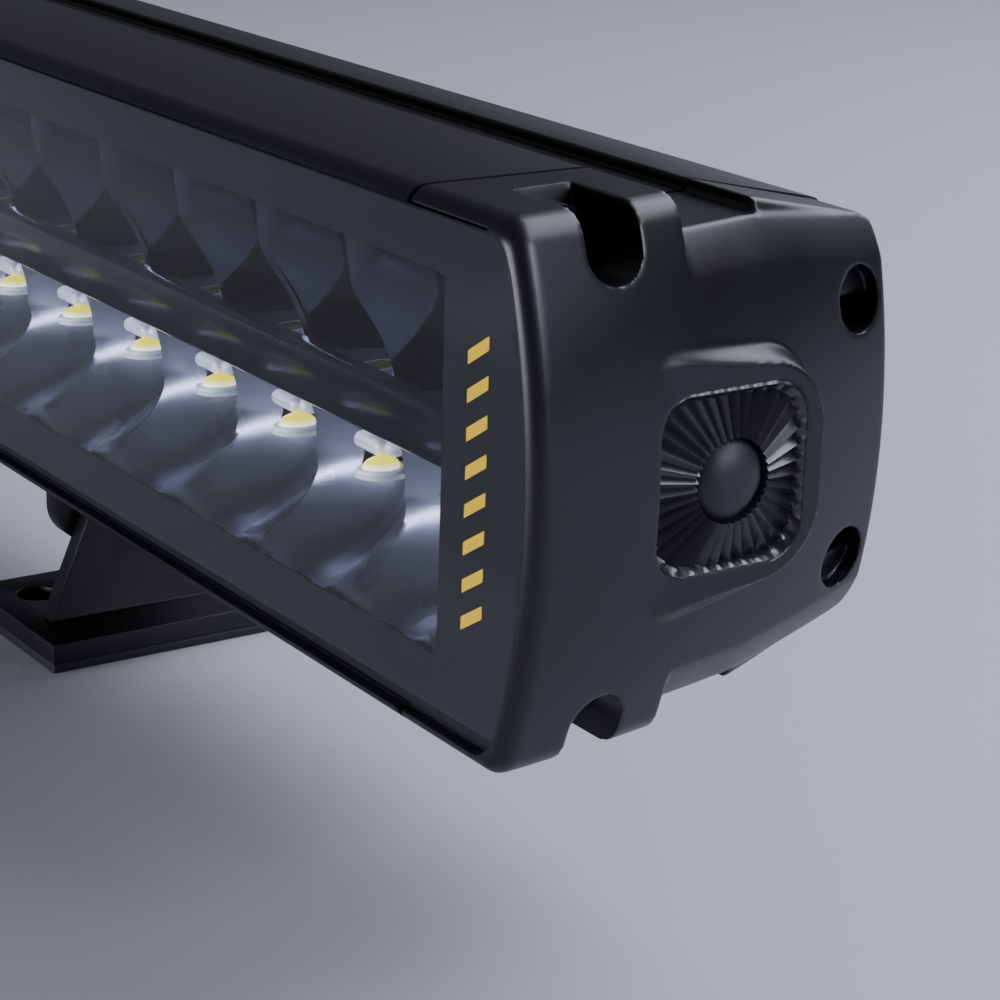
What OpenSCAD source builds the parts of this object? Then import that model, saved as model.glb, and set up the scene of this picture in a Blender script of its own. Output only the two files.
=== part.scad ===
// Double-row LED light bar on two sliding, tilting feet.
// X runs along the bar, the lens looks towards -Y, and Z is up. The origin is on the ground,
// in the middle under the bar.

/* [Bar] */
// LEDs in each of the two rows (two LEDs share one reflector)
led_count = 18; // [6:2:30]
// Distance between neighbouring LEDs
led_pitch = 27.4; // [26.6:0.1:30]
// Dark margin between the last reflector and the window's end
window_margin = 4.6; // [3:0.1:6]
// Height of the clear window in the lens
window_h = 56.8; // [52:0.2:60]
// Overall height of the housing at the lens
front_h = 81; // [80.6:0.1:84]
// Depth from the lens face to the rear of the housing
body_d = 75; // [74:0.5:80]

/* [End caps] */
// Reach of a cap past the window's end, at mid height
cap_reach = 28.5; // [28:0.1:32]
// Radius of the end face seen from above
cap_plan_r = 320; // [250:5:400]
// Radius of the end face seen from the front
cap_crown_r = 110; // [100:1:130]
// Half size of the serrated side mount
serration_half = 13.4; // [12:0.1:14]
// Serrations around the side mount
serration_count = 36; // [24:2:36]

/* [Feet] */
// Distance of each foot from the middle of the bar
foot_x = 80; // [75:1:180]
// Distance from the housing's underside down to the tilt axis
tilt_drop = 17.5; // [17:0.5:25]
// Distance from the tilt axis down to the ground
foot_rise = 28; // [28:0.5:40]
// Length of a foot along the bar
foot_w = 40; // [36:1:44]
// Depth of a foot
foot_d = 54; // [46:1:60]
// Radius of the two bolt holes in a foot
foot_hole_r = 4.25; // [3.2:0.05:4.5]
// Distance between the two bolt holes in a foot
foot_hole_gap = 34; // [30:1:36]

/* [Hidden] */
$fn = 64;
clear = 0.3;
half_h = front_h / 2;
window_x = led_count * led_pitch / 2 + window_margin;
module_count = led_count / 2;

// Housing profile, in depth (y) and half height (z)
rim_y = -1.4;
rim_r = 3.5;
channel_y0 = 29.5;
channel_y1 = 47.5;
channel_z = half_h - 5.1;
rail_z = half_h - 3.1;
rear_z = 31.6;
rear_r = 3;
seat_y = 5.5;
seat_z = 33;
lens_half = half_h - 2.7;
lens_t = 4;
mask_t = 0.5;
wall = 3;
fin_y = 62;
fin_pitch = 6.4;
fin_gap = 4;

// T-slots above and below
slot_y = 38.5;
slot_mouth = 8.6;
slot_w = 14.6;
slot_h = 7;
slot_lip = 3;

// End caps
gasket_t = 0.8;
cap_x0 = window_x - 4.5;
housing_x = cap_x0 - gasket_t;
cap_slant_y = -27;
lens_end_x = window_x + 25.4;
lens_end_r = 108;
screw_r = 2;
screw_head_r = 3.5;
screw_head_h = 4;
front_screw = [16, half_h - 5.3];
rear_screw = [67.5, 20.4];
pocket_r = 5.2;
pocket_x = window_x + 4.5;
rear_sink_r = 5;
rear_sink_x = window_x + 1;
side_y = 35.6;
side_x = window_x + 24.4;
side_floor = side_x - 3.2;
insert_l = 9;
insert_r = 6.2;
thread_r = 3.4;
dome_r = 7;
dome_h = 4.8;
dome_edge = 1.5;
pad_half = serration_half + 4.2;
pad_r = 9;
hollow_z = 27;
hollow_x = window_x + 12;
cap_body_x = cap_x0 + 2;

// Light engine
led_y = 17;
upper_z = 1.2;
lower_z = -14.6;
board_t = 1.6;
board_y0 = 12;
board_d = 13;
fascia_y = 9.9;
fascia_half = 4.8;
fascia_r = 8;
fascia_arc = asin(fascia_half / fascia_r);
bowl_f_upper = 9;
bowl_f_lower = 4.5;
reflector_gap = 0.2;
reflector_y0 = 6.2;
reflector_y1 = channel_y0 - wall - 0.3;
upper_top = 30.5;
lower_top = -5.2;
lower_bottom = -30.9;
tongue_y0 = 14.3;
tongue_half = 3.8;
clip_x = 3;
clip_z = 4;
clip_seat_y = 20.9;
clip_r = 1.15;
clip_shaft_r = 0.8;
carrier_t = 2;
deck_z = upper_z - board_t - 3;
shelf_y0 = channel_y0 - wall - 0.1;
shelf_d = 6.6;

// Feet
tilt_z = -half_h - tilt_drop;
ground_z = tilt_z - foot_rise;
pad_t = 2;
plate_t = 4;
web_t = 5;
ear_half = 18;
ear_drop = 8;
upright_r = 12.5;
saddle_screw_x = 9;
bolt_r = 4;
bolt_hole_r = 4.1;
nut_h = 8;
gland_x = 150;
land_half = 12;
gland_r = 8;
cable_r = 3.4;
gland_len = 18;
vent_x = 110;
rear_y = body_d + gland_len;
mid_y = (rim_y + rear_y) / 2;

// ---- helpers -------------------------------------------------------------

// Lifts a lamp-frame piece (lens face y = 0, mid height z = 0) onto the ground frame
module at_lamp() translate([0, -mid_y, -ground_z]) children();

// Extrudes a (y, z) outline from x0 to x1
module along_x(x0, x1) translate([x0, 0, 0]) rotate([90, 0, 90]) linear_extrude(x1 - x0) children();

// Extrudes an (x, z) outline from y0 to y1
module along_y(y0, y1) translate([0, y1, 0]) rotate([90, 0, 0]) linear_extrude(y1 - y0) children();

// Turns a piece of the right end into the left one
module sided(side) if (side < 0) mirror([1, 0, 0]) children(); else children();

// Both halves of something drawn for z > 0
module both_z() { children(); mirror([0, 1]) children(); }

function arc(centre, r, from, to, steps) =
    [for (i = [0 : steps]) let (a = from + (to - from) * i / steps) centre + r * [cos(a), sin(a)]];

module box2(y0, y1, z0, z1) translate([y0, z0]) square([y1 - y0, z1 - z0]);

module rounded_square(half, r) {
    square([2 * half, 2 * (half - r)], center = true);
    square([2 * (half - r), 2 * half], center = true);
    for (sy = [-1, 1], sz = [-1, 1]) translate([sy * (half - r), sz * (half - r)]) circle(r);
}

// Hexagon head or nut, by its width across flats
module hex(across, h) cylinder(r = across / sqrt(3), h = h, $fn = 6);

// ---- outlines ------------------------------------------------------------

module outer_profile() {
    half_outline = concat(
        [[rim_y, -1]],
        arc([rim_y + rim_r, half_h - rim_r], rim_r, 180, 90, 8),
        [[channel_y0, half_h], [channel_y0, channel_z], [channel_y1, channel_z],
         [channel_y1, rail_z]],
        arc([body_d - rear_r, rear_z - rear_r], rear_r, 76, 0, 6),
        [[body_d, -1]]
    );
    both_z() polygon(half_outline);
}

module screw_places() {
    for (s = [-1, 1]) {
        translate([front_screw[0], s * front_screw[1]]) children();
        translate([rear_screw[0], s * rear_screw[1]]) children();
    }
}

module chamber_profile() both_z() {
    box2(rim_y - 1, seat_y, -1, lens_half + 0.2);
    box2(rim_y - 1, seat_y + 3, -1, seat_z);
    box2(seat_y + 2, channel_y0 - wall, -1, half_h - wall);
    box2(channel_y0 - wall - 1, fin_y - 4, -1, channel_z - slot_lip - slot_h - 2.4);
    box2(channel_y1 + 2, fin_y - 4, -1, rear_z - wall);
}

module slot_profile() both_z() {
    box2(slot_y - slot_mouth / 2, slot_y + slot_mouth / 2, channel_z - slot_lip - 1, channel_z + 1);
    box2(slot_y - slot_w / 2, slot_y + slot_w / 2, channel_z - slot_lip - slot_h, channel_z - slot_lip);
}

module fin_profile() both_z() {
    for (i = [0 : 3]) translate([0, i * fin_pitch]) box2(fin_y, body_d + 1, 0, fin_gap / (i == 0 ? 2 : 1));
}

module housing_profile() {
    difference() {
        union() {
            difference() {
                outer_profile();
                chamber_profile();
                fin_profile();
            }
            intersection() {
                outer_profile();
                screw_places() circle(4.2);
            }
        }
        slot_profile();
        screw_places() circle(screw_r + 0.05);
    }
}

// Plate with straight long edges and gently bowed ends, corners rounded by r
module bowed_plate(plate_half, end_x, end_r, r) {
    big = end_x - end_r;
    corner_z = plate_half - r;
    corner_x = big + sqrt(pow(end_r - r, 2) - pow(corner_z, 2));
    sharp_x = big + sqrt(pow(end_r, 2) - pow(plate_half, 2));
    reach = end_r / (end_r - r);
    on_arc = [big + (corner_x - big) * reach, corner_z * reach];
    difference() {
        intersection() {
            square([2 * end_x + 2, 2 * plate_half], center = true);
            union() {
                square([2 * big, 2 * end_r], center = true);
                for (s = [-1, 1]) translate([s * big, 0]) circle(end_r, $fn = 128);
            }
        }
        for (sx = [-1, 1], sz = [-1, 1]) scale_xz(sx, sz) difference() {
            polygon([[corner_x, plate_half + 1], [sharp_x + 3, plate_half + 1],
                     [on_arc[0] + 3, on_arc[1]], on_arc, [corner_x, corner_z]]);
            translate([corner_x, corner_z]) circle(r);
        }
    }
}

// Mirrors an (x, z) outline into one of the four corners
module scale_xz(sx, sz) mirror([sx < 0 ? 1 : 0, 0]) mirror([0, sz < 0 ? 1 : 0]) children();

// ---- housing and end caps ------------------------------------------------

module housing() color("#2b2e33") at_lamp() {
    difference() {
        union() {
            along_x(-housing_x, housing_x) housing_profile();
            // Solid lands between the fins for the gland and the vent
            for (x = [gland_x, vent_x]) along_x(x - land_half, x + land_half)
                box2(fin_y - 4, body_d, -land_half, land_half);
        }
        translate([gland_x, fin_y - 5, 0]) rotate([-90, 0, 0]) cylinder(r = 6.2, h = 20);
        translate([vent_x, fin_y - 5, 0]) rotate([-90, 0, 0]) cylinder(r = 3.1, h = 20);
    }
}

// Solid whose outer skin is the bowed end face
module end_bulge() {
    centre_x = window_x + cap_reach - sqrt(pow(cap_plan_r, 2) - pow(cap_slant_y, 2));
    translate([centre_x, cap_slant_y, 0]) rotate_extrude($fn = 180)
        translate([cap_plan_r - cap_crown_r, 0]) circle(cap_crown_r, $fn = 180);
}

module end_cap(side) color("#26282c") at_lamp() sided(side) difference() {
    union() {
        intersection() {
            along_x(cap_x0, window_x + cap_reach + 1) outer_profile();
            end_bulge();
        }
        along_x(cap_body_x, side_x) translate([side_y, 0]) rounded_square(pad_half, pad_r);
    }
    // Seat for the lens, its mask and gasket
    along_y(rim_y - 1, seat_y) bowed_plate(lens_half + 0.2, lens_end_x + 0.2, lens_end_r, 5.2);
    // Hollow behind the lens
    along_x(cap_x0 - 1, hollow_x) box2(seat_y - 1, fin_y - 4, -hollow_z, hollow_z);
    // Pockets for the front screws, open to the top and the end
    for (s = [-1, 1]) {
        translate([pocket_x, front_screw[0], s * front_screw[1]]) rotate([0, 90, 0])
            cylinder(r = pocket_r, h = 40);
        translate([pocket_x, front_screw[0] - pocket_r, s > 0 ? front_screw[1] : -front_screw[1] - 10])
            cube([40, 2 * pocket_r, 10]);
        translate([rear_sink_x, rear_screw[0], s * rear_screw[1]]) rotate([0, 90, 0])
            cylinder(r = rear_sink_r, h = 40);
    }
    along_x(cap_x0 - 1, window_x + 20) screw_places() circle(screw_r + 0.3);
    // Serrated side mount and its threaded insert
    difference() {
        along_x(side_floor, side_x + 10) translate([side_y, 0]) rounded_square(serration_half, 6);
        serrations();
    }
    translate([side_floor - insert_l, side_y, 0]) rotate([0, 90, 0]) cylinder(r = insert_r, h = 20);
}

// Ring of straight ridges standing on the floor of the side mount
module serrations() for (i = [0 : serration_count - 1])
    translate([side_floor, side_y, 0]) rotate([i * 360 / serration_count, 0, 0])
        translate([0, dome_r + 0.4, 0]) rotate([0, 45, 0])
            translate([-0.38, 0, -0.38]) cube([0.76, 13, 0.76]);

module end_gasket(side) color("#111214") at_lamp() sided(side)
    along_x(housing_x, cap_x0) difference() {
        offset_free_profile(0.6);
        both_z() box2(-5, fin_y - 4, -1, hollow_z);
        both_z() box2(-5, channel_y0 - wall, -1, upper_top + 0.5);
        both_z() box2(-5, seat_y, -1, lens_half + 0.4);
        screw_places() circle(screw_r + 0.3);
    }

// Housing outline pulled in by g, without the T-slots
module offset_free_profile(g) both_z() polygon([
    [rim_y + rim_r, -1], [rim_y + rim_r, half_h - g], [channel_y0 - g, half_h - g],
    [channel_y0 - g, channel_z - g], [channel_y1 + g, channel_z - g], [channel_y1 + g, rail_z - 2 * g],
    [body_d - rear_r, rear_z - 3 * g], [body_d - g, rear_z - rear_r], [body_d - g, -1]]);

module cap_screw(len) {
    rotate([0, 90, 0]) difference() {
        cylinder(r = screw_head_r, h = screw_head_h);
        translate([0, 0, screw_head_h - 2.2]) hex(3, 3);
    }
    translate([-len, 0, 0]) rotate([0, 90, 0]) cylinder(r = screw_r, h = len + 0.1);
}

module end_cap_screws() color("#3a3c40") at_lamp() for (side = [-1, 1]) sided(side) for (s = [-1, 1]) {
    translate([pocket_x, front_screw[0], s * front_screw[1]]) cap_screw(22);
    translate([rear_sink_x, rear_screw[0], s * rear_screw[1]]) cap_screw(18);
}

module side_insert(side) color("#b08d4a") at_lamp() sided(side)
    translate([side_floor - insert_l, side_y, 0]) rotate([0, 90, 0]) difference() {
        cylinder(r = insert_r - 0.02, h = insert_l);
        translate([0, 0, -1]) cylinder(r = thread_r, h = insert_l + 2);
    }

module side_plug(side) color("#1d1e20") at_lamp() sided(side)
    translate([side_floor, side_y, 0]) rotate([0, 90, 0]) {
        rise = dome_h - dome_edge;
        ball_r = (dome_r * dome_r + rise * rise) / (2 * rise);
        intersection() {
            cylinder(r = dome_r, h = dome_h + 1);
            translate([0, 0, dome_h - ball_r]) sphere(r = ball_r);
        }
        translate([0, 0, -6]) cylinder(r = thread_r - 0.05, h = 6.1);
    }

// ---- lens ----------------------------------------------------------------

module lens() color("#c8d4e0", 0.35) at_lamp() along_y(0, lens_t)
    bowed_plate(lens_half, lens_end_x, lens_end_r, 5);

module lens_mask() color("#08090b") at_lamp() along_y(lens_t, lens_t + mask_t) difference() {
    bowed_plate(lens_half - 0.1, lens_end_x - 0.1, lens_end_r, 5);
    square([2 * window_x, window_h], center = true);
}

module lens_gasket() color("#111214") at_lamp() along_y(lens_t + mask_t, seat_y) difference() {
    bowed_plate(lens_half - 0.2, lens_end_x - 0.2, lens_end_r, 5);
    bowed_plate(seat_z + 0.5, lens_end_x - 5, lens_end_r - 5, 2);
}

// ---- light engine --------------------------------------------------------

engine_x = window_x - window_margin;
function led_x(i) = -engine_x + led_pitch * (i + 0.5);

module centre_fascia() color("#0b0c0e") at_lamp() along_x(-engine_x, engine_x)
    polygon(concat(
        [[board_y0 - 0.1, -fascia_half]],
        arc([fascia_y + fascia_r, 0], fascia_r, 180 + fascia_arc, 180 - fascia_arc, 10),
        [[board_y0 - 0.1, fascia_half]]));

// Places of the small screws that hold the lower reflectors, as an (x, z) outline
module reflector_screw_places() for (i = [0 : led_count - 1])
    translate([led_x(i) + clip_x, lower_z + clip_z]) children();

// Bent and folded heat carrier: a deck, a riser behind the lower reflectors, a shelf and a rear plate
module led_carrier() color("#8d9298") at_lamp() {
    shelf_z = lower_z - board_t;
    difference() {
        along_x(-engine_x, engine_x) union() {
            box2(board_y0, fin_y - 4, deck_z, upper_z - board_t);
            box2(shelf_y0, shelf_y0 + carrier_t, lower_z + 2, deck_z + 0.1);
            box2(shelf_y0, shelf_y0 + shelf_d, shelf_z - carrier_t, shelf_z);
            box2(shelf_y0 + shelf_d, shelf_y0 + shelf_d + carrier_t, shelf_z - carrier_t, deck_z + 0.1);
            box2(fin_y - 7, fin_y - 4, -18, 18);
        }
        along_y(shelf_y0 - 1, shelf_y0 + carrier_t + 1) reflector_screw_places() circle(clip_shaft_r + 0.05);
    }
    // Posts that hold the driver board
    for (x = [post_inset, driver_l - post_inset], y = [post_inset, driver_d - post_inset])
        translate([driver_x + x, driver_y + y, driver_z + board_t])
            cylinder(r = 2, h = deck_z + 0.1 - driver_z - board_t);
}

module led_board_upper() color("#e8e8e4") at_lamp()
    translate([-engine_x, board_y0, upper_z - board_t]) cube([2 * engine_x, board_d, board_t]);

// Strip with one tongue for each LED, which reaches forward through the reflector
module led_board_lower() color("#e8e8e4") at_lamp() translate([0, 0, lower_z - board_t])
    linear_extrude(board_t) {
        translate([-engine_x, shelf_y0]) square([2 * engine_x, shelf_d - 0.2]);
        for (i = [0 : led_count - 1]) translate([led_x(i) - tongue_half, tongue_y0])
            square([2 * tongue_half, shelf_y0 - tongue_y0 + 1]);
    }

module leds(z) color("#ffe14a") at_lamp() for (i = [0 : led_count - 1]) translate([led_x(i), led_y, z]) {
    translate([-2.5, -2.5, 0]) cube([5, 5, 0.8]);
    intersection() {
        translate([0, 0, 0.2]) sphere(r = 2.1);
        cylinder(r = 3, h = 3);
    }
}

// Solid of revolution of a parabola with its focus on the LED, opening towards the lens
module bowl(f, r_max) rotate([90, 0, 0]) translate([0, 0, -f]) rotate_extrude($fn = 72)
    polygon(concat([for (i = [0 : 12]) let (r = r_max * i / 12) [r, r * r / (4 * f)]],
                   [[r_max, 60], [0, 60]]));

// Block for two LEDs between two heights, with a bowl cut in behind each of them
module reflector(i, low_z, high_z, focus_z, f) {
    x0 = -engine_x + 2 * led_pitch * (i - 1) + reflector_gap / 2;
    difference() {
        translate([x0, reflector_y0, low_z])
            cube([2 * led_pitch - reflector_gap, reflector_y1 - reflector_y0, high_z - low_z]);
        for (k = [0, 1]) translate([led_x(2 * (i - 1) + k), led_y, focus_z])
            bowl(f, high_z - low_z + 6);
    }
}

module reflector_upper(i) color("#777b82") at_lamp() difference() {
    reflector(i, upper_z + 0.1, upper_top, upper_z + 0.1, bowl_f_upper);
    translate([-engine_x, board_y0 - 0.2, upper_z - 1]) cube([2 * engine_x, board_d + 0.4, 1.2]);
}

module reflector_lower(i) color("#8a8e96") at_lamp() difference() {
    reflector(i, lower_bottom, lower_top, lower_z, bowl_f_lower);
    for (k = [0, 1]) translate([led_x(2 * (i - 1) + k), reflector_y0 - 1, lower_z]) {
        translate([-tongue_half - clear, 0, -board_t - clear])
            cube([2 * (tongue_half + clear), reflector_y1, board_t + 2.6]);
        translate([clip_x, 0, clip_z]) rotate([-90, 0, 0]) {
            cylinder(r = clip_r + 0.15, h = clip_seat_y - reflector_y0 + 1);
            cylinder(r = clip_shaft_r + 0.05, h = reflector_y1);
        }
    }
}

// Small screws that hold the lower reflectors to the carrier
module reflector_screws() color("#c9ccd0") at_lamp() {
    along_y(clip_seat_y - 1.2, clip_seat_y) reflector_screw_places() circle(clip_r);
    along_y(clip_seat_y - 0.1, shelf_y0 + carrier_t) reflector_screw_places() circle(clip_shaft_r);
}

// ---- electronics ---------------------------------------------------------

driver_x = 60;
driver_y = 36.5;
driver_z = -9;
driver_l = 120;
driver_d = 18;
post_inset = 3;
can_r = 4;
can_h = 6.5;
coil = 14;

module driver_board() color("#2e6b3c") at_lamp()
    translate([driver_x, driver_y, driver_z]) cube([driver_l, driver_d, board_t]);

module driver_parts() color("#3c3f45") at_lamp() {
    for (i = [0 : 3]) translate([driver_x + 12 + i * 18, driver_y + driver_d / 2, driver_z - can_h])
        cylinder(r = can_r, h = can_h);
    translate([driver_x + 84, driver_y + 2, driver_z - 7]) cube([coil, coil, 7]);
}

module wire_harness_plug() color("#e9e6da") at_lamp()
    translate([driver_x + driver_l - 16, driver_y + 2, driver_z - 6]) cube([10, coil, 6]);

module cable_gland() color("#1b1c1f") at_lamp() translate([gland_x, body_d, 0]) rotate([-90, 0, 0])
    difference() {
        union() {
            translate([0, 0, -15]) cylinder(r = 6, h = 15.1);
            hex(15, 5);
            translate([0, 0, 5]) cylinder(r = 6.5, h = 6);
        }
        translate([0, 0, -16]) cylinder(r = cable_r, h = 60);
    }

module gland_nut() color("#1b1c1f") at_lamp() translate([gland_x, body_d + 11, 0]) rotate([-90, 0, 0])
    difference() {
        union() {
            cylinder(r = gland_r, h = 4);
            translate([0, 0, 4]) cylinder(r1 = gland_r, r2 = 5.2, h = gland_len - 15);
        }
        translate([0, 0, -1]) cylinder(r = cable_r, h = 60);
    }

module breather_vent() color("#17181a") at_lamp() translate([vent_x, body_d, 0]) rotate([-90, 0, 0]) {
    cylinder(r = 5.5, h = 2.6);
    translate([0, 0, -8]) cylinder(r = 3, h = 8.1);
}

// ---- feet ----------------------------------------------------------------

module foot_frame(side) at_lamp() sided(side) translate([foot_x, slot_y, 0]) children();

module slot_nut(side) color("#b9bdc2") foot_frame(side) difference() {
    union() {
        translate([-14, -(slot_w - 2 * clear) / 2, -channel_z + slot_lip + clear])
            cube([28, slot_w - 2 * clear, 5]);
        translate([-14, -(slot_mouth - 2 * clear) / 2, -channel_z - clear])
            cube([28, slot_mouth - 2 * clear, slot_lip + 2 * clear + 0.1]);
    }
    for (x = [-saddle_screw_x, saddle_screw_x])
        translate([x, 0, -channel_z - 1]) cylinder(r = screw_r + 0.05, h = 12);
}

module saddle(side) color("#26282c") foot_frame(side) difference() {
    union() {
        // Flange that fills the channel under the bar
        translate([-foot_w / 2, -8.5, -half_h - 1]) cube([foot_w, 17, half_h + 1 - channel_z - clear]);
        translate([-foot_w / 2, -ear_half, -half_h - 4]) cube([foot_w, 2 * ear_half, 3.5]);
        // Ear that carries the tilt bolt
        along_x(-web_t / 2, web_t / 2) {
            box2(-ear_half, ear_half, tilt_z, -half_h - 2);
            box2(-ear_half + ear_drop, ear_half - ear_drop, tilt_z - ear_drop, tilt_z + 1);
            for (s = [-1, 1]) translate([s * (ear_half - ear_drop), tilt_z]) circle(ear_drop);
        }
    }
    translate([-20, 0, tilt_z]) rotate([0, 90, 0]) cylinder(r = bolt_hole_r, h = 40);
    for (x = [-saddle_screw_x, saddle_screw_x]) {
        translate([x, 0, -half_h - 10]) cylinder(r = screw_r + 0.3, h = 20);
        translate([x, 0, -half_h - 10]) cylinder(r = screw_head_r + 0.4, h = 9);
    }
}

module saddle_screw(side) color("#b9bdc2") foot_frame(side) for (x = [-saddle_screw_x, saddle_screw_x])
    translate([x, 0, -half_h - 1]) {
        translate([0, 0, -3]) cylinder(r = screw_head_r, h = 3);
        cylinder(r = screw_r, h = half_h + 1 - channel_z + 5);
    }

module foot(side) color("#26282c") foot_frame(side) difference() {
    union() {
        translate([-foot_w / 2 - 1, -foot_d / 2, ground_z + pad_t]) cube([foot_w, foot_d, plate_t]);
        // Upright beside the ear, round at its top
        along_x(web_t / 2 + clear / 2, web_t / 2 + clear / 2 + plate_t) {
            translate([0, tilt_z]) circle(upright_r);
            polygon([[-upright_r, tilt_z], [upright_r, tilt_z], [foot_d / 2 - 4, ground_z + pad_t + 1],
                     [-foot_d / 2 + 4, ground_z + pad_t + 1]]);
        }
    }
    translate([-20, 0, tilt_z]) rotate([0, 90, 0]) cylinder(r = bolt_hole_r, h = 40);
    for (s = [-1, 1]) translate([-10, s * foot_hole_gap / 2, ground_z - 1]) cylinder(r = foot_hole_r, h = 10);
}

module foot_pad(side) color("#141517") foot_frame(side) difference() {
    translate([-foot_w / 2 - 1, -foot_d / 2, ground_z]) cube([foot_w, foot_d, pad_t]);
    for (s = [-1, 1]) translate([-10, s * foot_hole_gap / 2, ground_z - 1]) cylinder(r = foot_hole_r, h = 10);
}

module tilt_bolt(side) color("#b9bdc2") foot_frame(side) translate([0, 0, tilt_z]) rotate([0, 90, 0]) {
    translate([0, 0, -web_t / 2 - 1.6]) cylinder(r = 8, h = 1.6);
    translate([0, 0, -web_t / 2 - 1.6 - 5.3]) hex(13, 5.4);
    translate([0, 0, -web_t / 2 - 2]) cylinder(r = bolt_r, h = 22);
}

module tilt_nut(side) color("#b9bdc2") foot_frame(side) translate([0, 0, tilt_z]) rotate([0, 90, 0])
    translate([0, 0, web_t / 2 + clear / 2 + plate_t + clear / 2]) difference() {
        union() {
            cylinder(r = 8, h = 1.6);
            translate([0, 0, 1.5]) hex(13, nut_h);
        }
        translate([0, 0, -1]) cylinder(r = bolt_r + 0.02, h = 20);
    }

// ---- nodes ---------------------------------------------------------------

housing();
end_cap(-1);  // end_cap_left
end_cap(1);  // end_cap_right
end_gasket(-1);  // end_gasket_left
end_gasket(1);  // end_gasket_right
end_cap_screws();
lens();
lens_mask();
lens_gasket();
centre_fascia();
led_carrier();
led_board_upper();
led_board_lower();
leds(upper_z);  // leds_upper
leds(lower_z);  // leds_lower
reflector_screws();
driver_board();
driver_parts();
wire_harness_plug();
cable_gland();
gland_nut();
breather_vent();
side_insert(-1);  // side_insert_left
side_insert(1);  // side_insert_right
side_plug(-1);  // side_plug_left
side_plug(1);  // side_plug_right
slot_nut(-1);  // slot_nut_left
slot_nut(1);  // slot_nut_right
saddle(-1);  // saddle_left
saddle(1);  // saddle_right
saddle_screw(-1);  // saddle_screw_left
saddle_screw(1);  // saddle_screw_right
tilt_bolt(-1);  // tilt_bolt_left
tilt_bolt(1);  // tilt_bolt_right
tilt_nut(-1);  // tilt_nut_left
tilt_nut(1);  // tilt_nut_right
foot(-1);  // foot_left
foot(1);  // foot_right
foot_pad(-1);  // foot_pad_left
foot_pad(1);  // foot_pad_right
for (i = [1 : module_count]) {
    reflector_upper(i);
    reflector_lower(i);
}
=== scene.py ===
"""Looks of a double-row LED light bar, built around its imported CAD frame.

Pieces are modelled in lamp millimetres: X from the middle of the bar, Y back from the lens face and
Z up from mid height. `Datum` turns them into the frame's metres when a piece is finished.
"""

from __future__ import annotations

import logging
import math
from dataclasses import dataclass, field
from enum import Enum
from typing import Callable, Iterable, Sequence

import bpy
from mathutils import Matrix, Vector

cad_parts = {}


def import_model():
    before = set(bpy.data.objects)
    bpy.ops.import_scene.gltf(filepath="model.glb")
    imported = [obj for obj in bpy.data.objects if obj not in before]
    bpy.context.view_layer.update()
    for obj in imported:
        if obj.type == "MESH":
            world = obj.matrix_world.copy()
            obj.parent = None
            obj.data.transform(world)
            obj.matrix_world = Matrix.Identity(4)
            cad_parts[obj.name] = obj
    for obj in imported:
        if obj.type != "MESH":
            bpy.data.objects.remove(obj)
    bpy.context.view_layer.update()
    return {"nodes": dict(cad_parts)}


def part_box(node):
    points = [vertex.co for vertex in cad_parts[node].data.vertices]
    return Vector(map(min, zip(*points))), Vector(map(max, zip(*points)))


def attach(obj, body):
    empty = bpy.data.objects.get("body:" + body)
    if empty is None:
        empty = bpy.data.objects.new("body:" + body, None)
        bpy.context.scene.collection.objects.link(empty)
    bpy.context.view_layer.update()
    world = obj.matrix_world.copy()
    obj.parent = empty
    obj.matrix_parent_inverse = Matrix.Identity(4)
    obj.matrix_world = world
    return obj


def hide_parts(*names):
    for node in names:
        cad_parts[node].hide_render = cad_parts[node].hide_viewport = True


LOG = logging.getLogger("light_bar")
MM = 0.001
Point = tuple[float, float]
Place = tuple[float, float, float]
EdgeTest = Callable[[Sequence[Vector]], bool]
Formula = Callable[[float, float], Place]


class Plane(Enum):
    """Which plane an outline is drawn in, named for the axis that it is extruded along."""

    ALONG_X = "x"
    ALONG_Y = "y"
    ALONG_Z = "z"


class Side(Enum):
    """The two ends of the bar."""

    LEFT = -1
    RIGHT = 1

    @property
    def word(self) -> str:
        """Name of the side, as the CAD nodes spell it."""
        return self.name.lower()


@dataclass(frozen=True)
class Datum:
    """Where the lamp stands in the frame.

    Args:
        face_y: The lens face, in metres.
        mid_z: Mid height of the lens, in metres.
        cap_x: Distance from the middle to the joint of housing and cap, in millimetres.
        joint: Distance from that joint to the end of the window, in millimetres.
    """

    face_y: float
    mid_z: float
    cap_x: float
    joint: float = 4.5

    @classmethod
    def from_frame(cls) -> "Datum":
        """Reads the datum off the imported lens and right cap.

        Returns:
            The datum.
        """
        low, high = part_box("lens")
        cap_low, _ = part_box("end_cap_right")
        return cls(low.y, (low.z + high.z) / 2, cap_low.x / MM)

    @property
    def window_x(self) -> float:
        """Distance from the middle to the window's end, in millimetres."""
        return self.cap_x + self.joint

    def matrix(self) -> Matrix:
        """Matrix from lamp millimetres to the frame's metres."""
        return Matrix.Translation((0, self.face_y, self.mid_z)) @ Matrix.Scale(MM, 4)

    def at(self, x: float, y: float, z: float) -> Vector:
        """Frame place of a point given in lamp millimetres."""
        return self.matrix() @ Vector((x, y, z))


# ---------------------------------------------------------------------------------------------
# Modelling
# ---------------------------------------------------------------------------------------------


def arc(centre: Point, radius: float, start: float, end: float, steps: int) -> list[Point]:
    """Points along an arc.

    Args:
        centre: Centre of the arc.
        radius: Its radius.
        start: First angle in degrees.
        end: Last angle in degrees.
        steps: Number of chords.

    Returns:
        The points, both ends included.
    """
    turns = [math.radians(start + (end - start) * i / steps) for i in range(steps + 1)]
    return [(centre[0] + radius * math.cos(a), centre[1] + radius * math.sin(a)) for a in turns]


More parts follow.
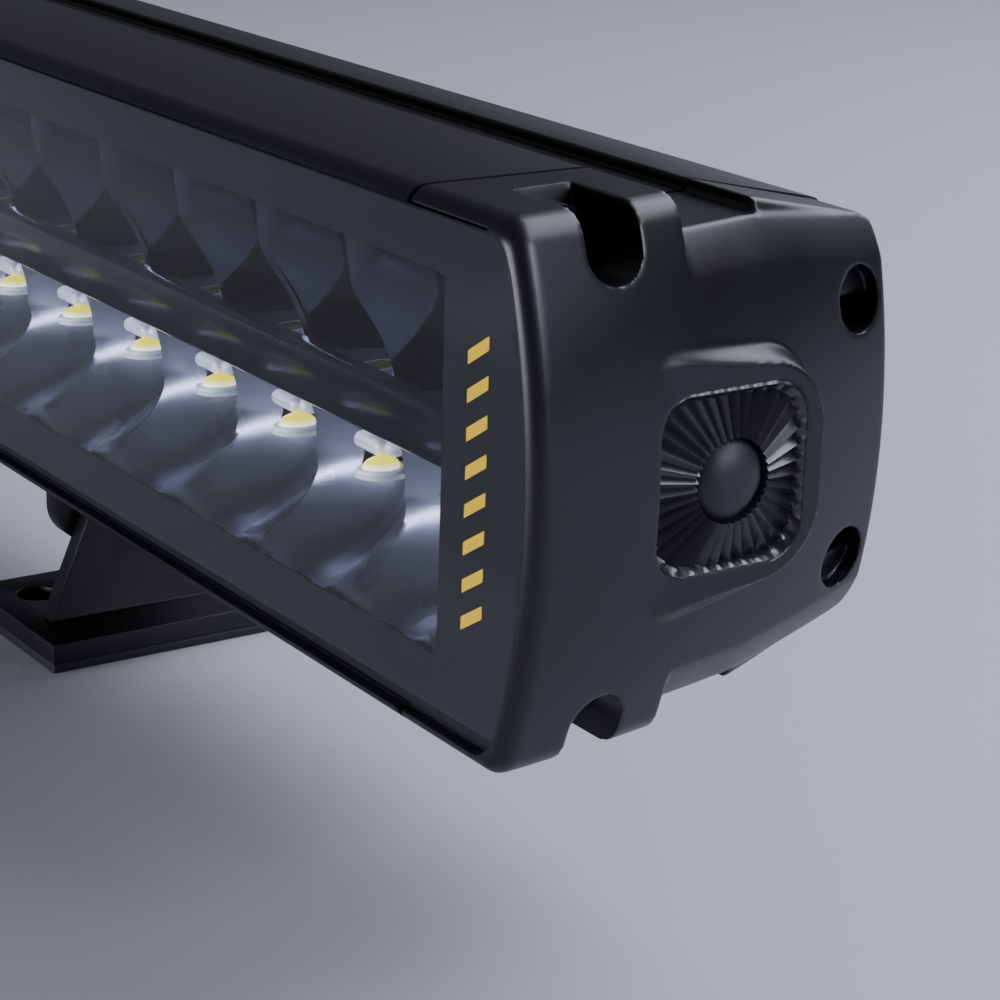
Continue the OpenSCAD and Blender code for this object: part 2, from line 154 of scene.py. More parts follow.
def rounded(points: Sequence[Point], radii: Sequence[float], steps: int = 5) -> list[Point]:
    """Outline whose corners are rounded.

    Args:
        points: The corners in order.
        radii: One radius for each corner, 0 for a sharp one.
        steps: Chords in each round.

    Returns:
        The new outline.
    """
    outline: list[Point] = []
    for index, corner in enumerate(points):
        here = Vector(corner)
        back = (Vector(points[index - 1]) - here).normalized()
        ahead = (Vector(points[(index + 1) % len(points)]) - here).normalized()
        radius = radii[index]
        turn = back.angle(ahead)
        if radius <= 0 or turn > math.pi - 0.02:
            outline.append(corner)
            continue
        reach = radius / math.tan(turn / 2)
        centre = here + (back + ahead).normalized() * radius / math.sin(turn / 2)
        start, end = here + back * reach - centre, here + ahead * reach - centre
        sweep = start.angle_signed(end)
        for step in range(steps + 1):
            spoke = start.copy()
            spoke.rotate(Matrix.Rotation(-sweep * step / steps, 2))
            outline.append(tuple(centre + spoke))
    return outline


def rectangle(low: Point, high: Point) -> list[Point]:
    """Corners of a rectangle, counter-clockwise."""
    return [low, (high[0], low[1]), high, (low[0], high[1])]


def soft_floor(value: float, floor: float, blend: float) -> float:
    """The larger of a value and a floor, with the corner between them rounded over a blend."""
    gap = value - floor
    return floor + (gap + math.sqrt(gap * gap + blend * blend)) / 2


def outside_square(y: float, z: float, half: float, corner: float) -> float:
    """How far a point lies outside a rounded square about the origin, negative inside it."""
    dy, dz = abs(y) - (half - corner), abs(z) - (half - corner)
    return math.hypot(max(dy, 0), max(dz, 0)) + min(max(dy, dz), 0) - corner


def deselect() -> None:
    """Leaves edit mode and deselects everything."""
    if bpy.context.object and bpy.context.object.mode != "OBJECT":
        bpy.ops.object.mode_set(mode="OBJECT")
    bpy.ops.object.select_all(action="DESELECT")


def activate(obj: bpy.types.Object) -> None:
    """Makes one object the only selected and active one.

    Args:
        obj: The object.
    """
    deselect()
    obj.select_set(True)
    bpy.context.view_layer.objects.active = obj


def select_edges(obj: bpy.types.Object, chosen: EdgeTest) -> bool:
    """Enters edit mode with the edges that a test picks selected.

    Args:
        obj: The object.
        chosen: Gets an edge's two ends and says whether it is picked.

    Returns:
        True where it picked any.
    """
    activate(obj)
    bpy.ops.object.mode_set(mode="EDIT")
    bpy.ops.mesh.select_mode(type="EDGE")
    bpy.ops.mesh.select_all(action="DESELECT")
    bpy.ops.object.mode_set(mode="OBJECT")
    mesh = obj.data
    picked = [edge for edge in mesh.edges if chosen([mesh.vertices[v].co for v in edge.vertices])]
    for edge in picked:
        edge.select = True
    bpy.ops.object.mode_set(mode="EDIT")
    return bool(picked)


def mend(obj: bpy.types.Object, merge: float = 0.0, turn: bool = True) -> None:
    """Tidies a mesh.

    Args:
        obj: The object.
        merge: Points closer than this become one.
        turn: True to turn every face outwards.
    """
    activate(obj)
    bpy.ops.object.mode_set(mode="EDIT")
    bpy.ops.mesh.select_all(action="SELECT")
    if merge:
        bpy.ops.mesh.remove_doubles(threshold=merge)
    if turn:
        bpy.ops.mesh.normals_make_consistent(inside=False)
    bpy.ops.object.mode_set(mode="OBJECT")


def modify(obj: bpy.types.Object, kind: str, **settings: object) -> None:
    """Adds a modifier with its settings and applies it.

    Args:
        obj: The object.
        kind: The modifier's type.
        settings: Its settings by name.
    """
    activate(obj)
    modifier = obj.modifiers.new(kind.lower(), kind)
    for key, value in settings.items():
        setattr(modifier, key, value)
    bpy.ops.object.modifier_apply(modifier=modifier.name)


def primitive_named(name: str) -> bpy.types.Object:
    """Names the primitive that was just added and puts its place into its mesh.

    Args:
        name: Name of the object and its mesh.

    Returns:
        The object.
    """
    obj = bpy.context.object
    obj.name = name
    obj.data.name = name
    bpy.ops.object.transform_apply(location=True, rotation=True, scale=True)
    return obj


def prism(name: str, outline: Sequence[Point], start: float, end: float, plane: Plane) -> bpy.types.Object:
    """Extrudes an outline: a filled circle is pulled to the outline and then extruded.

    Args:
        name: Name of the new object.
        outline: (y, z), (x, z) or (x, y) points for the three planes in turn.
        start: Where the extrusion starts on its axis.
        end: Where it ends.
        plane: The outline's plane.

    Returns:
        The closed solid.
    """
    deselect()
    bpy.ops.mesh.primitive_circle_add(vertices=len(outline), radius=1, fill_type="NGON")
    obj = primitive_named(name)
    for vertex, (u, v) in zip(obj.data.vertices, outline):
        vertex.co = {
            Plane.ALONG_X: Vector((start, u, v)),
            Plane.ALONG_Y: Vector((u, start, v)),
            Plane.ALONG_Z: Vector((u, v, start)),
        }[plane]
    push = {
        Plane.ALONG_X: (end - start, 0, 0),
        Plane.ALONG_Y: (0, end - start, 0),
        Plane.ALONG_Z: (0, 0, end - start),
    }[plane]
    activate(obj)
    bpy.ops.object.mode_set(mode="EDIT")
    bpy.ops.mesh.select_all(action="SELECT")
    bpy.ops.mesh.extrude_region_move(TRANSFORM_OT_translate={"value": push})
    mend(obj)
    return obj


def cylinder(name: str, centre: Place, radius: float, length: float) -> bpy.types.Object:
    """Round bar along X from the middle of its first face."""
    x, y, z = centre
    return prism(name, arc((y, z), radius, 0, 352.5, 47), x, x + length, Plane.ALONG_X)


def bevel(obj: bpy.types.Object, width: float, segments: int, chosen: EdgeTest, profile: float = 0.5) -> None:
    """Rounds the edges that a test picks.

    Args:
        obj: The object.
        width: Radius of the round.
        segments: Facets across it.
        chosen: Gets an edge's two ends and says whether it is rounded.
        profile: 0.5 for a round, less for a flatter one.
    """
    if select_edges(obj, chosen):
        bpy.ops.mesh.bevel(offset=width, offset_type="OFFSET", segments=segments, affect="EDGES",
                           clamp_overlap=False, profile=profile)
    bpy.ops.object.mode_set(mode="OBJECT")


def soften(obj: bpy.types.Object, width: float, segments: int = 2, angle: float = 40) -> None:
    """Breaks every edge sharper than an angle in degrees."""
    modify(obj, "BEVEL", width=width, segments=segments, limit_method="ANGLE",
           angle_limit=math.radians(angle))


def cut(target: bpy.types.Object, *cutters: bpy.types.Object, keep: bool = False) -> None:
    """Cuts solids out of another.

    Args:
        target: The solid that stays.
        cutters: The solids taken out of it.
        keep: True to keep the cutters for another use.
    """
    for tool in cutters:
        modify(target, "BOOLEAN", operation="DIFFERENCE", solver="EXACT", object=tool)
        if not keep:
            discard(tool)


def discard(obj: bpy.types.Object) -> None:
    """Deletes a helper object and its mesh.

    Args:
        obj: The object.
    """
    mesh = obj.data
    bpy.data.objects.remove(obj)
    bpy.data.meshes.remove(mesh)


def join(pieces: Sequence[bpy.types.Object], name: str) -> bpy.types.Object:
    """Joins pieces into the first one and names it.

    Args:
        pieces: The pieces.
        name: Name of the joined object.

    Returns:
        The joined object.
    """
    deselect()
    for piece in pieces:
        piece.select_set(True)
    bpy.context.view_layer.objects.active = pieces[0]
    if len(pieces) > 1:
        bpy.ops.object.join()
    pieces[0].name = name
    pieces[0].data.name = name
    return pieces[0]


def smooth(obj: bpy.types.Object, angle: float = 35) -> None:
    """Shades smooth across every edge flatter than an angle in degrees."""
    activate(obj)
    bpy.ops.object.shade_smooth_by_angle(angle=math.radians(angle))


def copy_of(obj: bpy.types.Object, name: str, shift: Place = (0, 0, 0)) -> bpy.types.Object:
    """Copies an object with a mesh of its own.

    Args:
        obj: The object.
        name: Name of the copy.
        shift: How far the copy is moved.

    Returns:
        The copy.
    """
    twin = obj.copy()
    twin.data = obj.data.copy()
    twin.name = name
    twin.data.name = name
    bpy.context.collection.objects.link(twin)
    twin.data.transform(Matrix.Translation(shift))
    return twin


def mirrored(obj: bpy.types.Object, name: str) -> bpy.types.Object:
    """Copies a right-end piece for the left end, with its faces turned outwards again.

    Args:
        obj: The piece.
        name: Name of the copy.

    Returns:
        The copy.
    """
    twin = copy_of(obj, name)
    twin.data.transform(Matrix.Scale(-1, 4, (1, 0, 0)))
    twin.data.flip_normals()
    return twin


def lathe(name: str, outline: Sequence[Point], centre: Place, axis: Plane, steps: int) -> bpy.types.Object:
    """Turns an outline of (distance along the axis, radius) points about an axis.

    Args:
        name: Name of the new object.
        outline: The points from one end of the axis to the other, both on the axis.
        centre: Origin of the outline.
        axis: The axis it is turned about.
        steps: Facets around it.

    Returns:
        The closed solid.
    """
    deselect()
    bpy.ops.mesh.primitive_circle_add(vertices=len(outline), radius=1, fill_type="NOTHING")
    obj = primitive_named(name)
    origin = Vector(centre)
    for vertex, (along, radius) in zip(obj.data.vertices, outline):
        offset = {Plane.ALONG_X: (along, 0, radius), Plane.ALONG_Y: (radius, along, 0),
                  Plane.ALONG_Z: (radius, 0, along)}[axis]
        vertex.co = origin + Vector(offset)
    turn = {Plane.ALONG_X: (1, 0, 0), Plane.ALONG_Y: (0, 1, 0), Plane.ALONG_Z: (0, 0, 1)}[axis]
    closing = (obj.data.vertices[0].co.copy(), obj.data.vertices[-1].co.copy())
    if select_edges(obj, lambda ends: set(map(tuple, ends)) == set(map(tuple, closing))):
        bpy.ops.mesh.delete(type="EDGE_FACE")
    bpy.ops.mesh.select_all(action="SELECT")
    bpy.ops.mesh.spin(steps=steps, angle=math.tau, center=origin, axis=turn)
    mend(obj, 0.001)
    return obj


def grid(name: str, cells: tuple[int, int], place: Formula) -> bpy.types.Object:
    """Grid whose points are pulled to a formula.

    Args:
        name: Name of the new object.
        cells: Cells across and up.
        place: Gives the place of a point from its two shares of the grid, each from 0 to 1.

    Returns:
        The open sheet.
    """
    deselect()
    bpy.ops.mesh.primitive_grid_add(x_subdivisions=cells[0], y_subdivisions=cells[1], size=2)
    obj = primitive_named(name)
    for vertex in obj.data.vertices:
        vertex.co = place((vertex.co.x + 1) / 2, (vertex.co.y + 1) / 2)
    return obj


def sheet_by_height(name: str, width: float, height: float, cells: tuple[int, int],
                    place: Formula, thickness: float) -> bpy.types.Object:
    """Curved plate: a grid is pulled to a formula and given a thickness.

    Args:
        name: Name of the new object.
        width: Width of the grid.
        height: Height of the grid.
        cells: Cells across and up.
        place: Gives the place of the grid point (u, v), with u from 0 to width, v from 0 to height.
        thickness: Thickness of the plate, behind the surface.

    Returns:
        The closed plate.
    """
    obj = grid(name, cells, lambda u, v: place(u * width, v * height))
    modify(obj, "SOLIDIFY", thickness=thickness, offset=-1)
    mend(obj)
    return obj


# ---------------------------------------------------------------------------------------------
# Finishes
# ---------------------------------------------------------------------------------------------


def linear(hex_colour: str) -> tuple[float, float, float, float]:
    """Turns an sRGB hex colour to opaque linear RGBA.

    Args:
        hex_colour: The colour as "#rrggbb".

    Returns:
        Red, green, blue and alpha.
    """
    values = [int(hex_colour[i : i + 2], 16) / 255 for i in (1, 3, 5)]
    channels = [v / 12.92 if v <= 0.04045 else ((v + 0.055) / 1.055) ** 2.4 for v in values]
    return channels[0], channels[1], channels[2], 1.0


def node(tree: bpy.types.NodeTree, kind: str, settings: dict | None = None,
         links: dict | None = None) -> bpy.types.Node:
    """Adds a node with its settings and links.

    Args:
        tree: The node tree.
        kind: The node's type.
        settings: Attribute or input name to value.
        links: Input name or index to the socket that feeds it.

    Returns:
        The node.
    """
    made = tree.nodes.new(kind)
    for key, value in (settings or {}).items():
        if isinstance(key, str) and hasattr(made, key):
            setattr(made, key, value)
        else:
            made.inputs[key].default_value = value
    for key, socket in (links or {}).items():
        tree.links.new(socket, made.inputs[key])
    return made


def blank(name: str) -> tuple[bpy.types.Material, bpy.types.NodeTree]:
    """New material with an empty node tree.

    Args:
        name: Name of the material.

    Returns:
        The material and its tree.
    """
    material = bpy.data.materials.new(name)
    material.use_nodes = True
    material.node_tree.nodes.clear()
    return material, material.node_tree


@dataclass(frozen=True)
class Grained:
    """Opaque finish with a fine grain in its bump and a slow drift in colour and roughness.

    Args:
        name: Name of the material, after what it is.
        colour: Main colour.
        drift: Colour that it drifts towards.
        roughness: Lowest and highest roughness.
        metallic: 1 for bare metal.
        grain_mm: Size of one grain.
        grain_depth: Strength of the bump.
        drift_mm: Size of the slow variation.
        coat: Weight of a clear coat.
        specular: Specular level of the base.
    """

    name: str
    colour: str
    drift: str
    roughness: tuple[float, float]
    metallic: float = 0.0
    grain_mm: float = 0.3
    grain_depth: float = 0.1
    drift_mm: float = 30.0
    coat: float = 0.0
    specular: float = 0.5

    def build(self) -> bpy.types.Material:
        """Makes the material.

        Returns:
            The material.
        """
        material, tree = blank(self.name)
        place = node(tree, "ShaderNodeTexCoord").outputs["Object"]
        slow = node(tree, "ShaderNodeTexNoise", {"Scale": 1 / (self.drift_mm * MM), "Detail": 3.0},
                    {"Vector": place})
        fine = node(tree, "ShaderNodeTexNoise", {"Scale": 1 / (self.grain_mm * MM), "Detail": 2.0},
                    {"Vector": place})
        tint = node(tree, "ShaderNodeMix", {"data_type": "RGBA"}, {0: slow.outputs["Fac"]})
        tint.inputs[6].default_value = linear(self.colour)
        tint.inputs[7].default_value = linear(self.drift)
        low, high = self.roughness
        rough = node(tree, "ShaderNodeMapRange",
                     {"From Min": 0.3, "From Max": 0.7, "To Min": low, "To Max": high},
                     {"Value": slow.outputs["Fac"]})
        bump = node(tree, "ShaderNodeBump", {"Strength": self.grain_depth, "Distance": self.grain_mm * MM},
                    {"Height": fine.outputs["Fac"]})
        shader = node(tree, "ShaderNodeBsdfPrincipled",
                      {"Metallic": self.metallic, "Coat Weight": self.coat, "Coat Roughness": 0.08,
                       "Specular IOR Level": self.specular},
                      {"Base Color": tint.outputs[2], "Roughness": rough.outputs["Result"],
                       "Normal": bump.outputs["Normal"]})
        node(tree, "ShaderNodeOutputMaterial", {}, {"Surface": shader.outputs["BSDF"]})
        return material


@dataclass(frozen=True)
class ClearSheet:
    """Hard-coated clear polycarbonate: sharp reflections, nearly no tint, and lamps shine through it."""

    name: str = "clear_polycarbonate"
    tint: str = "#f2f5fa"
    ior: float = 1.42
    roughness: float = 0.01
    specular: float = 0.1

    def build(self) -> bpy.types.Material:
        """Makes the material.

        Returns:
            The material.
        """
        material, tree = blank(self.name)
        shader = node(tree, "ShaderNodeBsdfPrincipled",
                      {"Base Color": linear(self.tint), "Roughness": self.roughness, "IOR": self.ior,
                       "Transmission Weight": 1.0, "Specular IOR Level": self.specular})
        through = node(tree, "ShaderNodeBsdfTransparent", {"Color": linear(self.tint)})
        path = node(tree, "ShaderNodeLightPath")
        mix = node(tree, "ShaderNodeMixShader", {},
                   {0: path.outputs["Is Shadow Ray"], 1: shader.outputs[0], 2: through.outputs[0]})
        node(tree, "ShaderNodeOutputMaterial", {}, {"Surface": mix.outputs[0]})
        return material


@dataclass(frozen=True)
class Phosphor:
    """Silicone dome over phosphor, yellow on top and white at its foot as painted shading by which way the
    surface faces, with a glow that is painted light.
    """

    name: str = "led_phosphor_silicone"
    colour: str = "#e9dc1e"
    glow: float = 1.5
    foot: str = "#fffde8"
    grain_mm: float = 0.25

    def build(self) -> bpy.types.Material:
        """Makes the material.

        Returns:
            The material.
        """
        material, tree = blank(self.name)
        coords = node(tree, "ShaderNodeTexCoord")
        grains = node(tree, "ShaderNodeTexNoise", {"Scale": 1 / (self.grain_mm * MM), "Detail": 1.0},
                      {"Vector": coords.outputs["Object"]})
        # Painted shading: the share of yellow follows how far the surface faces up, white at the foot; blend
        # carries this painted shade
        upright = node(tree, "ShaderNodeSeparateXYZ", {}, {"Vector": coords.outputs["Normal"]})
        blend = node(tree, "ShaderNodeMapRange", {"From Min": 0.1, "From Max": 0.75},
                     {"Value": upright.outputs["Z"]})
        grain_and_painted_shade = node(tree, "ShaderNodeMath", {"operation": "MULTIPLY_ADD", 1: 0.2},
                       {0: grains.outputs["Fac"], 2: blend.outputs["Result"]})
        tint = node(tree, "ShaderNodeMix", {"data_type": "RGBA"}, {0: grain_and_painted_shade.outputs[0]})
        tint.inputs[6].default_value = linear(self.foot)
        tint.inputs[7].default_value = linear(self.colour)
        # The glow in the same colours is painted light; each row sets its own strength
        shader = node(tree, "ShaderNodeBsdfPrincipled",
                      {"Roughness": 0.18, "Coat Weight": 0.6, "Emission Strength": self.glow},
                      {"Base Color": tint.outputs[2], "Emission Color": tint.outputs[2]})
        node(tree, "ShaderNodeOutputMaterial", {}, {"Surface": shader.outputs["BSDF"]})
        return material


class Finishes:
    """Every finish of the bar, made once and looked up by name."""

    # Name, colour, drift, roughness range, metallic, grain size and depth, drift size, coat, specular
    RECIPES: tuple = (
        # Satin powder coat over extruded aluminium: fine orange-peel grain, soft blue-grey sheen
        Grained("black_powder_coat", "#0b0c0f", "#0f1114", (0.32, 0.4), 0.0, 0.22, 0.06, 40.0, 0.0, 0.4),
        # Same coat on the castings: slightly coarser grain
        Grained("black_powder_coat_cast", "#0a0b0e", "#0f1115", (0.3, 0.38), 0.0, 0.26, 0.07, 25.0, 0.0,
                0.45),
        # Coat that pools smooth over the small teeth: glossier, and a touch lighter in colour than the
        # casting's coat as painted light, so that the teeth read lit all round
        Grained("black_coat_on_teeth", "#0d0e13", "#13151b", (0.28, 0.36), 0.0, 0.6, 0.03, 12.0, 0.25,
                0.9),
        # Screen print behind the lens: flat black, the gloss comes from the lens before it
        Grained("black_lens_print", "#050609", "#07080c", (0.5, 0.6), 0.0, 0.5, 0.02, 60.0, 0.0, 0.1),
        # Yellow ink of the plain marks
        Grained("yellow_lens_print", "#d8ac00", "#cea300", (0.5, 0.6), 0.0, 0.4, 0.02, 20.0, 0.0, 0.1),
        # Gloss black acrylic bar between the rows
        Grained("gloss_black_acrylic", "#090b10", "#0d1016", (0.05, 0.09), 0.0, 0.8, 0.01, 40.0, 0.6, 0.6),
        # Vacuum-metallised moulding, darkened to a violet grey
        Grained("metallised_mirror", "#565768", "#4a4b5b", (0.06, 0.1), 1.0, 1.5, 0.01, 18.0),
        # The lower row is a finer satin
        Grained("metallised_satin", "#8c8c9c", "#7d7e90", (0.24, 0.32), 1.0, 0.6, 0.02, 14.0),
        # Tray under the upper row: the same grey, as paint, so that it catches soft light. The clips beside
        # the lower LEDs: near white, partly a painted highlight
        Grained("pale_satin_tray", "#8f90a0", "#828394", (0.3, 0.4), 0.35, 0.5, 0.02, 20.0),
        Grained("pale_coated_clip", "#eeeff8", "#e2e3ee", (0.25, 0.35), 0.1, 0.4, 0.02, 6.0, 0.3),
        # Rubber of gaskets and foot pads, and the smoother side plugs
        Grained("moulded_rubber", "#131416", "#191a1d", (0.6, 0.72), 0.0, 0.5, 0.15, 15.0),
        Grained("matt_plug_rubber", "#141619", "#1a1c20", (0.42, 0.5), 0.0, 0.3, 0.1, 8.0),
        # White solder mask
        Grained("white_solder_mask", "#dfe0dc", "#d2d3d2", (0.35, 0.45), 0.0, 0.6, 0.05, 10.0),
        # White ceramic round each LED, a little glossier than the board
        Grained("white_ceramic", "#fbfbff", "#f4f5fa", (0.25, 0.32), 0.0, 0.4, 0.03, 6.0),
        # Bare and plated metals of the hidden parts and the fasteners
        Grained("mill_aluminium", "#b9bcc2", "#a9adb3", (0.3, 0.4), 1.0, 0.4, 0.08, 20.0),
        Grained("zinc_plated_steel", "#b4b7ba", "#a2a6ab", (0.24, 0.36), 1.0, 0.3, 0.06, 8.0),
        Grained("black_oxide_steel", "#1b1c1f", "#26272a", (0.32, 0.42), 0.7, 0.25, 0.08, 6.0),
        Grained("turned_brass", "#c09a55", "#a9843f", (0.25, 0.35), 1.0, 0.3, 0.05, 8.0),
        # Plastics, board and potting of the electrical parts
        Grained("black_nylon", "#141517", "#1b1c1f", (0.42, 0.52), 0.0, 0.4, 0.1, 12.0),
        Grained("natural_nylon", "#d8d3c2", "#cfc9b6", (0.45, 0.55), 0.0, 0.4, 0.06, 10.0),
        Grained("green_solder_mask", "#1f5230", "#19472a", (0.25, 0.35), 0.0, 0.6, 0.04, 10.0),
        Grained("dark_epoxy", "#2b2d31", "#35373c", (0.35, 0.5), 0.0, 0.4, 0.06, 8.0),
        ClearSheet(),
        # Domes of the lower row: strong glow, painted light for the light from the front
        Phosphor(),
        # The upper row's domes: darker yellow and almost no glow, painted shade under the bar
        Phosphor("led_phosphor_shaded", "#8d8648", 0.05),
    )

    def __init__(self) -> None:
        """Builds every material."""
        self.made = {recipe.name: recipe.build() for recipe in self.RECIPES}

    def __getitem__(self, name: str) -> bpy.types.Material:
        """The material of that name."""
        return self.made[name]


@dataclass
class Bench:
    """What every sub-assembly needs to hand its pieces over.

    Args:
        nodes: The CAD nodes by name.
        datum: Where the lamp stands.
        finishes: The materials.
        weld: Points of a copied CAD node closer than this become one, in millimetres.
        sharp: Edges of a copied CAD node sharper than this are broken, in degrees.
        count: Pieces delivered so far.
    """

    nodes: dict[str, bpy.types.Object]
    datum: Datum
    finishes: Finishes
    weld: float = 0.02
    sharp: float = 38
    count: int = 0

    def deliver(self, obj: bpy.types.Object, finish: str, slot: str, body: str = "lamp",
                stands_for: Iterable[str] = (), angle: float = 35, metres: bool = False) -> bpy.types.Object:
        """Args:
            obj: The piece, in lamp millimetres unless metres is set.
            finish: Its material, unless it has materials already.
            slot: The record's material slot; not used.
            body: The CAD body that it rides on.
            stands_for: CAD nodes that it replaces.
            angle: Edges flatter than this are shaded smooth.
            metres: True where the mesh is in the frame already.

        Returns:
            The piece.
        """
        if not metres:
            obj.data.transform(self.datum.matrix())
        smooth(obj, angle)
        if not obj.data.materials:
            obj.data.materials.append(self.finishes[finish])
        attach(obj, body)
        if stands_for:
            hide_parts(*stands_for)
        self.count += 1
        LOG.info("%s: %d faces on %s", obj.name, len(obj.data.polygons), body)
        return obj

    def refined(self, cad_node: str, finish: str, slot: str, body: str, width: float) -> None:
        """Stands a copy of a CAD node, with its sharp edges broken, in for the node.

        Args:
            cad_node: The node.
            finish: Its material.
            slot: The record's material slot.
            body: The body that it rides on.
            width: Width of the broken edge, in millimetres.
        """
        source = self.nodes[cad_node]
        twin = source.copy()
        twin.data = source.data.copy()
        twin.name = f"{cad_node}_detailed"
        twin.parent = None
        bpy.context.collection.objects.link(twin)
        twin.data.materials.clear()
        activate(twin)
        bpy.ops.object.mode_set(mode="EDIT")
        bpy.ops.mesh.select_all(action="SELECT")
        bpy.ops.mesh.remove_doubles(threshold=self.weld * MM)
        bpy.ops.mesh.dissolve_limited(angle_limit=math.radians(3))
        bpy.ops.object.mode_set(mode="OBJECT")
        soften(twin, width * MM, 3, self.sharp)
        self.deliver(twin, finish, slot, body, (cad_node,), self.sharp, metres=True)

    def paint(self, cad_node: str, finish: str) -> None:
        """Gives a CAD node whose shape is right its material.

        Args:
            cad_node: The node.
            finish: Its material.
        """
        mesh = self.nodes[cad_node].data
        mesh.materials.clear()
        mesh.materials.append(self.finishes[finish])


# ---------------------------------------------------------------------------------------------
# Housing and end caps
# ---------------------------------------------------------------------------------------------


@dataclass(frozen=True)
class Section:
    """Sizes of the housing's section, in depth and half height, which the caps share."""

    half_height: float = 40.5
    rim_y: float = -1.4
    rim_radius: float = 3.5
    channel: Point = (29.5, 47.5)
    channel_z: float = 35.4
    rail_z: float = 37.4
    rear_y: float = 75.0
    rear_z: float = 31.6
    seat_y: float = 5.5
    lens_half: float = 37.8
    lens_gap: float = 0.3
    ledge_z: float = 33.0
    slot_y: float = 38.5
    slot_mouth: float = 8.6
    slot_width: float = 14.6
    slot_height: float = 7.0
    slot_lip: float = 3.0
    fin_y: float = 62.0
    fin_pitch: float = 6.4
    fin_gap: float = 4.0
    wall: float = 3.0
    end_gap: float = 0.8
    land_half: float = 12.0
    land_y: float = 58.5


@dataclass
class Housing:
    """Extruded body: grooved above and below, finned behind, open at the lens."""

    bench: Bench
    section: Section = field(default_factory=Section)

    def outline(self) -> list[Point]:
        """Outline of the whole section, outside and then inside.

        Returns:
            (y, z) points.
        """
        s = self.section
        lip, cavity = s.channel_z - s.slot_lip, s.channel_z - s.slot_lip - s.slot_height
        mouth, wide = s.slot_mouth / 2, s.slot_width / 2
        seat_z = s.lens_half + s.lens_gap
        crest = math.degrees(math.asin((seat_z + s.rim_radius - s.half_height) / s.rim_radius))
        rim_centre = (s.rim_y + s.rim_radius, s.half_height - s.rim_radius)
        upper = arc(rim_centre, s.rim_radius, 180 - crest, 90, 10)
        corners = [
            (s.channel[0], s.half_height), (s.channel[0], s.channel_z), (s.slot_y - mouth, s.channel_z),
            (s.slot_y - mouth, lip), (s.slot_y - wide, lip), (s.slot_y - wide, cavity),
            (s.slot_y + wide, cavity), (s.slot_y + wide, lip), (s.slot_y + mouth, lip),
            (s.slot_y + mouth, s.channel_z), (s.channel[1], s.channel_z), (s.channel[1], s.rail_z),
            (s.rear_y, s.rear_z),
        ]
        radii = [1.0, 0.5, 0.4, 0.3, 0.4, 0.6, 0.6, 0.4, 0.3, 0.4, 0.5, 0.6, 2.6]
        upper += rounded([upper[-1], *corners, (s.rear_y, 0)], [0.0, *radii, 0.0], 4)[1:-1]
        # Fins: gaps cut in from the rear, mirrored about mid height
        gaps: list[Point] = []
        for index in range(3, -1, -1):
            low, high = index * s.fin_pitch, index * s.fin_pitch + (s.fin_gap if index else s.fin_gap / 2)
            gaps += [(s.rear_y, high), (s.fin_y, high)]
            gaps += [(s.fin_y, low), (s.rear_y, low)] if index else []
        upper += gaps
        lower = [(y, -z) for y, z in reversed(upper)]
        inner = [(s.seat_y, seat_z), (s.seat_y, s.ledge_z), (s.seat_y + 3, s.ledge_z),
                 (s.seat_y + 3, s.half_height - s.wall), (s.channel[0] - s.wall, s.half_height - s.wall),
                 (s.channel[0] - s.wall, cavity - 2.4), (s.channel[1] + 2, cavity - 2.4),
                 (s.channel[1] + 2, s.rear_z - s.wall), (s.fin_y - 4, s.rear_z - s.wall)]
        return upper + lower + [(y, -z) for y, z in inner] + list(reversed(inner))

    def build(self) -> None:
        """Models and delivers the housing."""
        s = self.section
        reach = self.bench.datum.cap_x - s.end_gap
        body = prism("housing_extrusion", self.outline(), -reach, reach, Plane.ALONG_X)
        lands = []
        for cad_node in ("cable_gland", "breather_vent"):
            low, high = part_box(cad_node)
            x = (low.x + high.x) / 2 / MM
            square = rectangle((x - s.land_half, -s.land_half), (x + s.land_half, s.land_half))
            lands.append(prism("land", square, s.land_y, s.rear_y, Plane.ALONG_Y))
            soften(lands[-1], 0.8, 3)
        self.bench.deliver(join([body, *lands], "housing_extrusion"), "black_powder_coat",
                           "housing_aluminium", stands_for=("housing",), angle=30)


